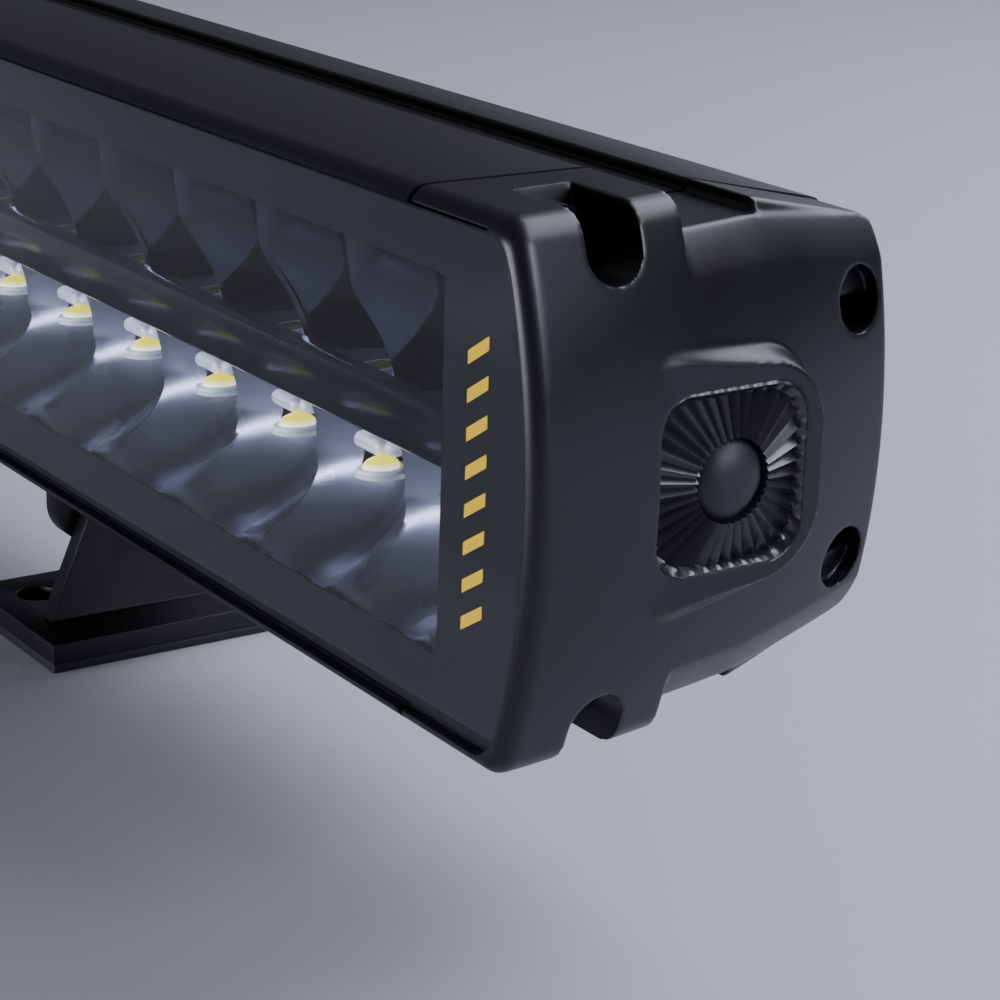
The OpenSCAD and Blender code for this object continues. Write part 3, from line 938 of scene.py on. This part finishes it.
@dataclass
class EndCap:
    """Die-cast cap: bowed end face, screw pockets, serrated side mount, filleted all round.

    The casting is modelled with a flat end, cut, fused with a voxel remesh so that every edge gets a
    cast round, and then bowed.
    """

    bench: Bench
    section: Section = field(default_factory=Section)
    # End face: its reach past the window, its bow in plan and in height, and where the bow is full
    reach: float = 28.5
    plan_radius: float = 320.0
    plan_centre_y: float = -27.0
    crown_radius: float = 110.0
    bow_reach: float = 18.0
    # Blocks that the casting is fused from
    fillet: float = 3.4
    rear_front: float = 15.0
    rear_shoulder: float = 46.0
    band_reach: float = 2.4
    band_height: float = 6.2
    rear_corner: float = 3.0
    rear_edge: float = 1.4
    rail_short: float = 3.0
    rail_round: float = 0.9
    # What is cut out of them: lens seat, hollow, screw pockets and sinks
    lens_reach: float = 25.6
    lens_corner: float = 5.0
    hollow_half: float = 27.0
    hollow_reach: float = 13.0
    pocket_y: float = 16.0
    pocket_z: float = 35.2
    pocket_radius: float = 5.2
    pocket_floor: float = 9.0
    sink: Point = (67.5, 20.4)
    sink_radius: float = 5.0
    sink_floor: float = 13.0
    # Side mount and the raised pad around it
    mount_y: float = 35.6
    mount_half: float = 13.4
    mount_corner: float = 6.0
    mount_reach: float = 24.4
    mount_floor: float = 22.0
    pad_margin: float = 4.8
    pad_corner: float = 10.6
    pad_lean: float = 0.11
    pad_blend: float = 2.5
    pad_depth: float = 1.5
    pad_softness: float = 0.12
    # Teeth in the mount's recess
    tooth_count: int = 36
    tooth_crest: float = 0.9
    tooth_fall: float = 1.5
    tooth_slope: float = 0.102
    tooth_rings: int = 16
    tooth_end: float = 0.87
    tooth_foot: float = 0.7
    tooth_wall: float = 1.6
    # Rubber plug in the middle
    dome_radius: float = 7.0
    dome_height: float = 4.8
    dome_lap: float = 0.6
    stem_radius: float = 3.3
    # Mesh of the casting
    voxel: float = 0.4
    triangles: int = 150_000

    @property
    def window_x(self) -> float:
        """The window's end, from the middle of the bar."""
        return self.bench.datum.window_x

    def drop(self, y: float, z: float) -> float:
        """How far the bowed end face lies inside its furthest point.

        Args:
            y: Depth of the point on the face.
            z: Its height.

        Returns:
            The distance along X.
        """
        plan = math.sqrt(self.plan_radius**2 - (y - self.plan_centre_y) ** 2)
        start = math.sqrt(self.plan_radius**2 - self.plan_centre_y**2)
        ring = self.plan_radius - self.crown_radius
        crown = math.sqrt(max(self.crown_radius**2 - z * z, 0))
        return (start - plan) + (self.plan_radius - ring - crown)

    def squircle(self, half: float, radius: float) -> list[Point]:
        """Rounded square about the side mount's centre, in (y, z)."""
        square = rectangle((self.mount_y - half, -half), (self.mount_y + half, half))
        return rounded(square, [radius] * 4, 8)

    def blocks(self) -> list[bpy.types.Object]:
        """The front block, the lower rear block and the two rails, with a flat end.

        Returns:
            Four closed solids that overlap.
        """
        s, x0, x1 = self.section, self.bench.datum.cap_x, self.window_x + self.reach
        front_outline = rounded(rectangle((s.rim_y, -s.half_height), (s.channel[0], s.half_height)),
                                [s.rim_radius, 0, 0, s.rim_radius], 8)
        front = prism("front_block", front_outline, x0, x1, Plane.ALONG_X)
        bevel(front, self.fillet, 8, lambda ends: all(p.x > x1 - 0.01 for p in ends)
              and not all(p.y > s.channel[0] - 0.01 for p in ends))
        start, shoulder = self.rear_front, self.rear_shoulder
        rear_outline = [(start, -s.channel_z), (shoulder, -s.channel_z), (s.rear_y, -s.rear_z),
                        (s.rear_y, s.rear_z), (shoulder, s.channel_z), (start, s.channel_z)]
        rear = prism("rear_block", rear_outline, x0, x1, Plane.ALONG_X)
        bevel(rear, self.band_reach, 6, lambda ends: all(p.x > x1 - 0.01 for p in ends)
              and not all(p.y < start + 0.1 for p in ends)
              and not all(p.y > s.rear_y - 0.01 for p in ends), 0.3)
        for vertex in rear.data.vertices:
            x, y, z = vertex.co
            slope = max(0.0, (y - shoulder) / (s.rear_y - shoulder))
            crest = s.channel_z + (s.rear_z - s.channel_z) * slope
            depth = crest - abs(z)
            if x > x1 - self.band_reach - 0.01 and depth < self.band_reach + 0.1:
                vertex.co.z = math.copysign(crest - depth * self.band_height / self.band_reach, z)
        bevel(rear, self.rear_edge, 4, lambda ends: all(p.y > s.rear_y - 0.01 for p in ends)
              and any(p.x > x0 + 0.01 for p in ends) and min(abs(p.z) for p in ends) < s.rear_z - 0.01)
        rail_outline = [(s.channel[1], 20), (s.channel[1], s.rail_z), (s.rear_y - 2, s.rear_z + 0.1),
                        (s.rear_y - 2, 20)]
        rail_end = x1 - self.rail_short
        rails = []
        for sign in (1, -1):
            outline = [(y, sign * z) for y, z in rail_outline]
            rail = prism("rail", outline, x0, rail_end, Plane.ALONG_X)
            bevel(rail, self.rail_round, 4, lambda ends: all(p.x > rail_end - 0.1 for p in ends))
            rails.append(rail)
        return [front, rear, *rails]

    def tools(self) -> list[bpy.types.Object]:
        """Solids that are cut out of the blocks, all in the flat-ended shape.

        Returns:
            The cutters.
        """
        s, w = self.section, self.window_x
        beyond, round_y = w + 40, self.pocket_radius
        seat_z, corner = s.lens_half + s.lens_gap, self.lens_corner
        seat = rounded(rectangle((w - 20, -seat_z), (w + self.lens_reach, seat_z)), [0, corner, corner, 0], 8)
        hollow = rectangle((s.seat_y - 1, -self.hollow_half), (s.fin_y - 3, self.hollow_half))
        recess = self.squircle(self.mount_half, self.mount_corner)
        cutters = [prism("seat_cut", seat, s.rim_y - 2, s.seat_y, Plane.ALONG_Y),
                   prism("hollow_cut", hollow, w - 10, w + self.hollow_reach, Plane.ALONG_X),
                   prism("mount_cut", recess, w + self.mount_floor, beyond, Plane.ALONG_X)]
        for sign in (1, -1):
            y, z = s.rear_y - self.rear_corner, s.rear_z - self.rear_corner
            shaving = [(s.rear_y, z), (s.rear_y + 2, z), (s.rear_y + 2, s.rear_z + 2), (y, s.rear_z + 2)]
            shaving += arc((y, z), self.rear_corner, 86, 0, 8)
            flipped = [(y, sign * z) for y, z in shaving]
            cutters.append(prism("corner_cut", flipped, w - 10, beyond, Plane.ALONG_X))
            floor, z, rim = w + self.pocket_floor, sign * self.pocket_z, sign * (self.pocket_z + 12)
            low, high = self.pocket_y - round_y, self.pocket_y + round_y
            slot = rectangle((low, min(z, rim)), (high, max(z, rim)))
            cutters.append(cylinder("pocket_cut", (floor, self.pocket_y, z), round_y, 30))
            cutters.append(prism("slot_cut", slot, floor, floor + 30, Plane.ALONG_X))
            sink = (w + self.sink_floor, self.sink[0], sign * self.sink[1])
            cutters.append(cylinder("sink_cut", sink, self.sink_radius, 30))
        return cutters

    def bow(self, obj: bpy.types.Object) -> None:
        """Bows the flat end and raises the pad around the side mount.

        Args:
            obj: The casting with its flat end.
        """
        start, end = self.bench.datum.cap_x, self.window_x + self.bow_reach
        face_x = self.window_x + self.reach
        for vertex in obj.data.vertices:
            x, y, z = vertex.co
            share = min(max((x - start) / (end - start), 0.0), 1.0)
            bowed = x - self.drop(y, z) * share
            above = x - face_x + self.pad_depth
            if above > 0:
                gap = (self.window_x + self.mount_reach) - (face_x - self.drop(y, z))
                raised = 0.5 * (gap + math.sqrt(gap * gap + self.pad_softness))
                bowed += raised * self.pad_share(y, z) * min(1.0, above / self.pad_depth)
            vertex.co.x = bowed

    def pad_share(self, y: float, z: float) -> float:
        """How much a point of the face belongs to the pad around the side mount, which widens forwards.

        Args:
            y: Depth of the point on the face.
            z: Its height.

        Returns:
            1 on the pad, falling to 0 just outside it.
        """
        behind = y - self.mount_y
        outside = outside_square(behind, abs(z) + behind * self.pad_lean, self.mount_half + self.pad_margin,
                                 self.pad_corner)
        t = min(max(0.5 - outside / self.pad_blend, 0.0), 1.0)
        return t * t * (3 - 2 * t)

    def casting(self) -> bpy.types.Object:
        """Fuses and bows the casting.

        Returns:
            The casting, without its teeth.
        """
        blocks = self.blocks()
        cutters = self.tools()
        for block in blocks[:2]:
            cut(block, *cutters, keep=True)
        for tool in cutters:
            discard(tool)
        cast = join(blocks, "end_cap_casting")
        modify(cast, "REMESH", mode="VOXEL", voxel_size=self.voxel, adaptivity=0.0)
        modify(cast, "SMOOTH", factor=0.5, iterations=1)
        self.bow(cast)
        modify(cast, "SMOOTH", factor=0.5, iterations=3)
        modify(cast, "DECIMATE", ratio=min(1.0, self.triangles / (2 * len(cast.data.polygons))))
        return cast

    def teeth(self) -> bpy.types.Object:
        """Models the radial V-teeth that fill the side mount's recess.

        Returns:
            The ring of teeth.
        """
        crest = self.window_x + self.mount_reach + self.tooth_crest
        inner = self.dome_radius - self.dome_lap

        def place(u: float, v: float) -> Place:
            """Place of the teeth at a share u of the turn and v of the way outwards."""
            spoke = (math.cos(math.tau * u), math.sin(math.tau * u))
            radius = inner + (self.mount_edge(spoke, self.mount_half - 0.05) - inner) * v
            phase = abs((u * self.tooth_count) % 1.0 - 0.5) * 2
            wall = max((v - self.tooth_end) / (1 - self.tooth_end), 0.0)
            depth = self.tooth_fall * v + self.tooth_slope * radius * phase
            depth = depth * (1 - wall) + self.tooth_foot * wall
            return crest - depth, self.mount_y + radius * spoke[0], radius * spoke[1]

        ring = grid("side_mount_teeth", (self.tooth_count * 4, self.tooth_rings), place)
        mend(ring, 0.0005, turn=False)
        modify(ring, "SOLIDIFY", thickness=self.tooth_wall, offset=1)
        mend(ring)
        return ring

    def mount_edge(self, spoke: Point, half: float) -> float:
        """Distance from the side mount's centre to the edge of its rounded square.

        Args:
            spoke: The direction, as a unit (y, z).
            half: Half the width of the square.

        Returns:
            The distance.
        """
        low, high = 0.0, 2 * half
        for _ in range(30):
            middle = (low + high) / 2
            outside = outside_square(spoke[0] * middle, spoke[1] * middle, half, self.mount_corner)
            low, high = (low, middle) if outside > 0 else (middle, high)
        return low

    def both_ends(self, right: bpy.types.Object, finish: str, slot: str, cad_stem: str, angle: float) -> None:
        """Delivers a right-end piece and its mirror image for the left end.

        Args:
            right: The piece at the right end, with "right" in its name.
            finish: Its material, unless it has materials already.
            slot: The record's material slot.
            cad_stem: The CAD node that it replaces, without its side.
            angle: Edges flatter than this are shaded smooth.
        """
        left = mirrored(right, right.name.replace(Side.RIGHT.word, Side.LEFT.word))
        for side, piece in ((Side.RIGHT, right), (Side.LEFT, left)):
            self.bench.deliver(piece, finish, slot, stands_for=(f"{cad_stem}_{side.word}",), angle=angle)

    def build(self) -> None:
        """Models the right cap and mirrors it for the left."""
        cast = self.casting()
        teeth = self.teeth()
        cast.data.materials.append(self.bench.finishes["black_powder_coat_cast"])
        # The teeth take the coat painted a touch lighter, as painted light
        teeth.data.materials.append(self.bench.finishes["black_coat_on_teeth"])
        cap = join([cast, teeth], "end_cap_right_casting")
        self.both_ends(cap, "", "cap_aluminium", "end_cap", 28)
        stem, foot, dome_radius = self.stem_radius, -0.2, self.dome_radius
        turns = [math.radians(angle) for angle in range(10, 90, 8)]
        dome = [(-6.0, 0.0), (-6.0, stem), (foot, stem), (foot, dome_radius)]
        dome += [(self.dome_height * math.sin(a), dome_radius * math.cos(a) ** 0.8) for a in turns]
        dome.append((self.dome_height, 0.0))
        centre = (self.window_x + self.mount_reach - 3.2, self.mount_y, 0.0)
        plug = lathe("side_plug_right_dome", dome, centre, Plane.ALONG_X, 64)
        self.both_ends(plug, "matt_plug_rubber", "plug_rubber", "side_plug", 50)


# ---------------------------------------------------------------------------------------------
# Lens, light engine and hardware
# ---------------------------------------------------------------------------------------------


@dataclass
class LensStack:
    """Clear lens with bowed ends, the print on its back and the plain yellow marks."""

    bench: Bench
    half: float = 37.8
    reach: float = 25.4
    end_radius: float = 108.0
    corner: float = 5.0
    edge: float = 0.7
    thickness: float = 3.9
    # Window in the print, and where print and seal lie behind the lens
    window_half: float = 28.4
    window_corner: float = 1.2
    print_y: Point = (4.05, 4.5)
    print_inset: float = 0.15
    seal_y: Point = (4.5, 5.5)
    seal_inset: Point = (0.3, 4.4)
    # Column of marks beside the window
    mark_count: int = 8
    mark_top: float = 19.5
    mark_pitch: float = 5.6
    mark_gap: float = 9.0
    mark_half: float = 2.6
    mark_cut: float = 0.6
    mark_y: Point = (3.96, 4.02)

    def outline(self, inset: float = 0.0) -> list[Point]:
        """Bowed plate outline in (x, z).

        Args:
            inset: How far it is pulled in.

        Returns:
            The points.
        """
        half, radius = self.half - inset, self.corner - inset
        end = self.bench.datum.window_x + self.reach - inset
        big = end - self.end_radius
        corner_x = big + math.sqrt((self.end_radius - radius) ** 2 - (half - radius) ** 2)
        tilt = math.degrees(math.atan2(half - radius, corner_x - big))
        right = arc((corner_x, -(half - radius)), radius, -90, -tilt, 6)
        right += arc((big, 0), self.end_radius, -tilt, tilt, 24)[1:-1]
        right += arc((corner_x, half - radius), radius, tilt, 90, 6)
        return right + [(-x, -z) for x, z in right]

    def build(self) -> None:
        """Models the lens, its print, its gasket and the marks."""
        window_x, window_half = self.bench.datum.window_x, self.window_half
        lens = prism("lens_sheet", self.outline(), 0, self.thickness, Plane.ALONG_Y)
        bevel(lens, self.edge, 3, lambda ends: all(p.y < 0.01 for p in ends))
        self.bench.deliver(lens, "clear_polycarbonate", "lens_clear", stands_for=("lens",), angle=30)
        mask = prism("lens_print", self.outline(self.print_inset), *self.print_y, Plane.ALONG_Y)
        window = rounded(rectangle((-window_x, -window_half), (window_x, window_half)),
                         [self.window_corner] * 4, 4)
        cut(mask, prism("window_cut", window, 3, 6, Plane.ALONG_Y))
        self.bench.deliver(mask, "black_lens_print", "mask_black", stands_for=("lens_mask",))
        self.marks(window_x + self.mark_gap)
        outside, inside = self.seal_inset
        seal = prism("lens_seal", self.outline(outside), *self.seal_y, Plane.ALONG_Y)
        cut(seal, prism("seal_cut", self.outline(inside), 4, 6, Plane.ALONG_Y))
        self.bench.deliver(seal, "moulded_rubber", "seal_rubber", stands_for=("lens_gasket",))

    def marks(self, column_x: float) -> None:
        """Prints a column of plain slanted bars beside each end of the window.

        Args:
            column_x: Distance from the middle to the column.
        """
        half, low = self.mark_half, self.mark_cut
        for side in Side:
            bars = []
            x = side.value * column_x
            for index in range(self.mark_count):
                z = self.mark_top - index * self.mark_pitch
                bar = [(x - half, z - half), (x + half, z + low), (x + half, z + half), (x - half, z - low)]
                bars.append(prism("bar", bar, *self.mark_y, Plane.ALONG_Y))
            self.bench.deliver(join(bars, f"print_bars_{side.word}"), "yellow_lens_print", "mask_black")


@dataclass
class LightEngine:
    """Reflectors, LED packages, the bar between the rows and what carries them."""

    bench: Bench
    count: int = 18
    pitch: float = 27.4
    led_y: float = 17.0
    upper_z: float = 1.2
    lower_z: float = -14.6
    # Reflectors: wall, joint between modules, cells of the grid, round between bowl and rim
    wall: float = 1.0
    module_gap: float = 0.12
    cells: tuple[int, int] = (80, 56)
    rim_blend: float = 2.4
    # Upper bowl: height, deepest point, focal lengths across and up, rim
    upper_height: float = 29.0
    upper_depth: float = 24.8
    upper_focus: Point = (3.9, 11.0)
    upper_rim: float = 6.4
    upper_lift: float = 0.2
    # Lower bowl: height, part of it below the LED, deepest point, focal lengths below and above, rim
    lower_height: float = 24.6
    lower_foot: float = 15.6
    lower_depth: float = 20.6
    lower_focus: Point = (4.4, 14.0)
    lower_rim: float = 6.0
    # How far a cell's sides stand forward, how fast that fades, and the way down to a pure wave
    swell: float = 6.5
    swell_fade: float = 0.06
    wave_below: float = 9.0
    # Opening for an LED, the clip and the screw beside it, all from the LED, as (x, z)
    slot: tuple[Point, Point] = ((-8.4, -2.0), (4.0, 1.7))
    clip: tuple[Point, Point] = ((-8.4, 1.9), (-0.4, 4.5))
    clip_y: Point = (-0.6, 3.4)
    clip_corner: float = 1.28
    clip_round: float = 0.9
    screw: Place = (1.9, 0.6, 3.9)
    # LED package
    base_radius: float = 2.9
    base_height: float = 0.6
    base_edge: float = 0.15
    dome_radius: float = 2.25
    # Board of the lower row and its tongues
    board_y: Point = (26.5, 32.5)
    board_thickness: float = 0.8
    board_edge: float = 0.2
    tongue_radius: float = 3.3
    tongue_back: float = 0.4
    # Bar between the rows and the tray under the upper row
    fascia_y: Point = (9.9, 12.0)
    fascia_half: float = 4.8
    fascia_bulge: float = 0.35
    tray: tuple[Point, Point] = ((12.1, 1.22), (27.0, 1.7))

    @property
    def reach(self) -> float:
        """Half the length of the rows."""
        return self.count * self.pitch / 2

    def led_x(self, index: int) -> float:
        """Place of an LED along the bar."""
        return -self.reach + self.pitch * (index + 0.5)

    def across(self, u: float) -> float:
        """Distance from the middle of the cell that u falls in."""
        cell = min(int(u / self.pitch + 1e-6), 1)
        return u - (cell + 0.5) * self.pitch

    def module_x(self, u: float) -> float:
        """Place along the bar of u, short of the joints between modules."""
        return -self.reach + min(max(u, self.module_gap), 2 * self.pitch - self.module_gap)

    def spot(self, index: int, corners: tuple[Point, Point]) -> list[Point]:
        """Rectangle given by its corners as seen from a lower LED.

        Args:
            index: The LED.
            corners: Lowest and highest (x, z), from the LED.

        Returns:
            The four corners.
        """
        x, z = self.led_x(index), self.lower_z
        (left, low), (right, high) = corners
        return rectangle((x + left, z + low), (x + right, z + high))

    def upper_module(self) -> bpy.types.Object:
        """Models one upper reflector for two LEDs.

        Returns:
            The reflector, at the left end of the row.
        """
        def place(u: float, v: float) -> Place:
            """Place of the surface at u along the module and v above its foot."""
            wide, tall = self.upper_focus
            depth = self.upper_depth - self.across(u) ** 2 / (4 * wide) - v**2 / (4 * tall)
            y = soft_floor(depth, self.upper_rim, self.rim_blend)
            return self.module_x(u), y, self.upper_z + self.upper_lift + v
        return sheet_by_height("reflector_upper", 2 * self.pitch, self.upper_height, self.cells, place,
                               self.wall)

    def lower_module(self) -> bpy.types.Object:
        """Models one lower reflector for two LEDs.

        Returns:
            The reflector, at the left end of the row.
        """
        def place(u: float, v: float) -> Place:
            """Place of the surface at u along the module and v above its foot."""
            rise = v - self.lower_foot
            below, above = self.lower_focus
            bend = rise**2 / (4 * (below if rise < 0 else above))
            share = self.across(u) / (self.pitch / 2)
            soft = min(max(-rise, 0) / self.wave_below, 1.0)
            swell = (1 - soft) * share**2 + soft * (1 - math.cos(math.pi * share)) / 2
            depth = self.lower_depth - self.swell * swell / (1 + self.swell_fade * max(-rise, 0)) - bend
            y = soft_floor(depth, self.lower_rim, self.rim_blend)
            return self.module_x(u), y, self.lower_z + rise
        module = sheet_by_height("reflector_lower", 2 * self.pitch, self.lower_height, self.cells, place,
                                 self.wall)
        for index in (0, 1):
            slot = rounded(self.spot(index, self.slot), [0.5] * 4, 3)
            cut(module, prism("slot", slot, 10, 30, Plane.ALONG_Y))
        return module

    def repeat_modules(self, first: bpy.types.Object, row: str, finish: str) -> None:
        """Copies a module along the bar and delivers each one.

        Args:
            first: The module at the left end.
            row: "upper" or "lower".
            finish: Its material.
        """
        for index in range(self.count // 2):
            cad_node = f"reflector_{row}_{index + 1}"
            piece = copy_of(first, f"{cad_node}_moulding", (index * 2 * self.pitch, 0, 0))
            self.bench.deliver(piece, finish, "reflector_metallised", stands_for=(cad_node,), angle=42)
        discard(first)

    def packages(self) -> None:
        """LED packages of both rows: a round white base under a yellow dome."""
        radius, top, edge = self.base_radius, self.base_height, self.base_edge
        rim = [(0.0, 0.0), (0.0, radius), (top - edge, radius), (top, radius - edge), (top, 0.0)]
        curve = [math.radians(angle) for angle in range(0, 90, 10)]
        # The lower domes take the painted-light finish, the upper ones the darker painted-shade finish
        for row, z, height, finish in (("upper", self.upper_z, 0.15, "led_phosphor_shaded"),
                                       ("lower", self.lower_z, 1.8, "led_phosphor_silicone")):
            shell = [(top / 2, 0.0), (top / 2, self.dome_radius)]
            shell += [(top + height * math.sin(a), self.dome_radius * math.cos(a)) for a in curve]
            shell.append((top + height, 0.0))
            pads, domes = [], []
            for index in range(self.count):
                place = (self.led_x(index), self.led_y, z)
                pads.append(lathe("pad", rim, place, Plane.ALONG_Z, 40))
                domes.append(lathe("dome", shell, place, Plane.ALONG_Z, 32))
            self.bench.deliver(join(pads, f"led_bases_{row}"), "white_ceramic", "board_white")
            self.bench.deliver(join(domes, f"led_domes_{row}"), finish, "led_yellow",
                               stands_for=(f"leds_{row}",), angle=60)

    def lower_board(self) -> None:
        """Board of the lower row, with a round-ended tongue under each LED."""
        top, bottom = self.lower_z, self.lower_z - self.board_thickness
        front, rear = self.board_y
        radius = self.tongue_radius
        strip = rectangle((-self.reach, front), (self.reach, rear))
        pieces = [prism("strip", strip, bottom, top, Plane.ALONG_Z)]
        for index in range(self.count):
            x, y = self.led_x(index), self.led_y + self.tongue_back
            root = [(x + radius, front + 0.5), (x - radius, front + 0.5)]
            tongue = root + arc((x, y), radius, 180, 360, 20)
            pieces.append(prism("tongue", tongue, bottom, top, Plane.ALONG_Z))
        board = join(pieces, "led_board_lower_detailed")
        soften(board, self.board_edge)
        self.bench.deliver(board, "white_solder_mask", "board_white", stands_for=("led_board_lower",))

    def clips(self) -> None:
        """Rounded clip and small screw beside each lower LED."""
        head = [(-1.28, 0.0), (-1.15, 0.55), (-0.8, 1.05), (-0.2, 1.35), (2.6, 1.35), (2.6, 0.0)]
        front, rear = (self.led_y + y for y in self.clip_y)
        clips, screws = [], []
        for index in range(self.count):
            outline = rounded(self.spot(index, self.clip), [self.clip_corner] * 4, 6)
            clips.append(prism("clip", outline, front, rear, Plane.ALONG_Y))
            bevel(clips[-1], self.clip_round, 4, lambda ends: all(p.y < self.led_y for p in ends))
            across, back, up = self.screw
            place = (self.led_x(index) + across, self.led_y + back, self.lower_z + up)
            screws.append(lathe("screw", head, place, Plane.ALONG_Y, 20))
        # Clips and screw heads both take the near-white finish; on the screw heads it is a painted glint, not
        # the plating's grey
        self.bench.deliver(join(clips, "reflector_clips"), "pale_coated_clip", "reflector_metallised",
                           angle=60)
        self.bench.deliver(join(screws, "reflector_screw_heads"), "pale_coated_clip", "zinc_steel",
                           stands_for=("reflector_screws",), angle=50)

    def fascia(self) -> None:
        """Gloss bar between the rows, with a rounded front that bulges in the middle."""
        half = self.fascia_half
        middle = sum(self.fascia_y) / 2
        front, rear = self.fascia_y
        corners = [(front, -half), (rear, -half), (rear, half), (front, half)]
        outline = [(y - self.fascia_bulge * math.cos(math.pi * z / (2 * half)) if y < middle else y, z)
                   for y, z in rounded(corners, [1.0, 0.1, 0.1, 1.0], 4)]
        bar = prism("centre_bar", outline, -self.reach, self.reach, Plane.ALONG_X)
        self.bench.deliver(bar, "gloss_black_acrylic", "fascia_gloss", stands_for=("centre_fascia",),
                           angle=30)

    def build(self) -> None:
        """Models and delivers the light engine."""
        self.repeat_modules(self.upper_module(), "upper", "metallised_mirror")
        self.repeat_modules(self.lower_module(), "lower", "metallised_satin")
        section = rounded(rectangle(*self.tray), [0.2] * 4, 3)
        tray = prism("reflector_tray", section, -self.reach, self.reach, Plane.ALONG_X)
        self.bench.deliver(tray, "pale_satin_tray", "reflector_metallised")
        self.packages()
        self.lower_board()
        self.clips()
        self.fascia()
        for cad_node, finish in (
            ("led_carrier", "mill_aluminium"), ("led_board_upper", "metallised_satin"),
            ("driver_board", "green_solder_mask"), ("driver_parts", "dark_epoxy"),
            ("wire_harness_plug", "natural_nylon"),
        ):
            self.bench.paint(cad_node, finish)


@dataclass
class Hardware:
    """Screws, gaskets, gland, vent, inserts and the two feet."""

    bench: Bench
    # CAD node without its side, finish, material slot, body without its side, width of the broken edge
    feet: tuple[tuple[str, str, str, str, float], ...] = (
        ("slot_nut", "zinc_plated_steel", "zinc_steel", "saddle", 0.4),
        ("saddle", "black_powder_coat_cast", "foot_coated", "saddle", 0.8),
        ("saddle_screw", "zinc_plated_steel", "zinc_steel", "saddle", 0.4),
        ("tilt_bolt", "zinc_plated_steel", "zinc_steel", "saddle", 0.4),
        ("tilt_nut", "zinc_plated_steel", "zinc_steel", "saddle", 0.4),
        ("foot", "black_powder_coat", "foot_coated", "foot", 0.8),
        ("foot_pad", "moulded_rubber", "pad_rubber", "foot", 0.4),
    )

    def build(self) -> None:
        """Refines or paints each piece."""
        self.bench.paint("end_cap_screws", "black_oxide_steel")
        for cad_node in ("cable_gland", "gland_nut", "breather_vent"):
            self.bench.refined(cad_node, "black_nylon", "gland_nylon", "lamp", 0.5)
        for side in Side:
            word = side.word
            self.bench.paint(f"end_gasket_{word}", "moulded_rubber")
            self.bench.paint(f"side_insert_{word}", "turned_brass")
            for stem, finish, slot, body, width in self.feet:
                self.bench.refined(f"{stem}_{word}", finish, slot, f"{body}_{word}_body", width)


# ---------------------------------------------------------------------------------------------
# Studio
# ---------------------------------------------------------------------------------------------


@dataclass
class Studio:
    """Pale floor, soft lights and the camera."""

    datum: Datum
    focal_mm: float = 100.86
    camera_place: Place = (0.5721, -0.2525, 0.2058)
    heading: float = 55.65
    pitch: float = -17.99
    roll: float = 1.78
    world_strength: float = 0.18

    def area(self, name: str, place: Vector, target: Vector, size: Point, power: float, colour: str) -> None:
        """Adds a soft box that looks at a target.

        Args:
            name: Its name.
            place: Its place in the frame.
            target: What it looks at.
            size: Its width and height in metres.
            power: Its power in watts.
            colour: Its colour.
        """
        lamp = bpy.data.lights.new(name, "AREA")
        lamp.shape = "RECTANGLE"
        lamp.size, lamp.size_y = size
        lamp.energy = power
        lamp.color = linear(colour)[:3]
        holder = bpy.data.objects.new(name, lamp)
        holder.location = place
        holder.rotation_euler = (target - place).to_track_quat("-Z", "Y").to_euler()
        bpy.context.collection.objects.link(holder)

    def camera(self) -> None:
        """Camera low in front of the right end, looking along the bar."""
        data = bpy.data.cameras.new("camera")
        data.lens = self.focal_mm
        data.sensor_width = 36.0
        data.clip_start = 0.01
        holder = bpy.data.objects.new("camera", data)
        turn = (Matrix.Rotation(math.radians(self.heading), 4, "Z")
                @ Matrix.Rotation(math.radians(90 + self.pitch), 4, "X")
                @ Matrix.Rotation(math.radians(self.roll), 4, "Z"))
        holder.matrix_world = Matrix.Translation(self.camera_place) @ turn
        bpy.context.collection.objects.link(holder)
        bpy.context.scene.camera = holder

    def build(self) -> None:
        """Sets the floor, the lights and the camera."""
        deselect()
        bpy.ops.mesh.primitive_plane_add(size=12)
        floor = primitive_named("floor")
        finish = Grained("pale_floor", "#c9cbcf", "#c4c6ca", (0.6, 0.7), 0.0, 3.0, 0.02, 300.0)
        floor.data.materials.append(finish.build())
        world = bpy.data.worlds.new("studio")
        world.use_nodes = True
        colour, strength = world.node_tree.nodes["Background"].inputs[:2]
        colour.default_value = linear("#c6cad4")
        strength.default_value = self.world_strength
        bpy.context.scene.world = world
        target = self.datum.at(230, 20, 0)
        # Name, place from the target, width and height in metres, power in watts, colour
        for name, offset, size, power, colour in (
            ("top_box", (0.15, 0.7, 0.85), (1.3, 0.5), 12.0, "#eef1ff"),
            ("side_box", (1.1, 0.45, 0.5), (0.5, 0.5), 9.0, "#e6ecff"),
            ("front_strip", (-0.15, -1.0, 0.03), (0.8, 0.12), 8.0, "#f4f5ff"),
            ("back_fill", (-0.6, 1.3, 0.6), (1.0, 0.5), 5.0, "#e6ecff"),
        ):
            self.area(name, target + Vector(offset), target, size, power, colour)
        self.camera()


def main() -> None:
    """Builds the light bar in order and reports each piece."""
    logging.basicConfig(level=logging.INFO, format="%(name)s %(message)s")
    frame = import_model()
    datum = Datum.from_frame()
    bench = Bench(frame["nodes"], datum, Finishes())
    for assembly in (Housing(bench), EndCap(bench), LensStack(bench), LightEngine(bench), Hardware(bench)):
        assembly.build()
    Studio(datum).build()
    LOG.info("%d pieces delivered", bench.count)


if __name__ == "__main__":
    main()
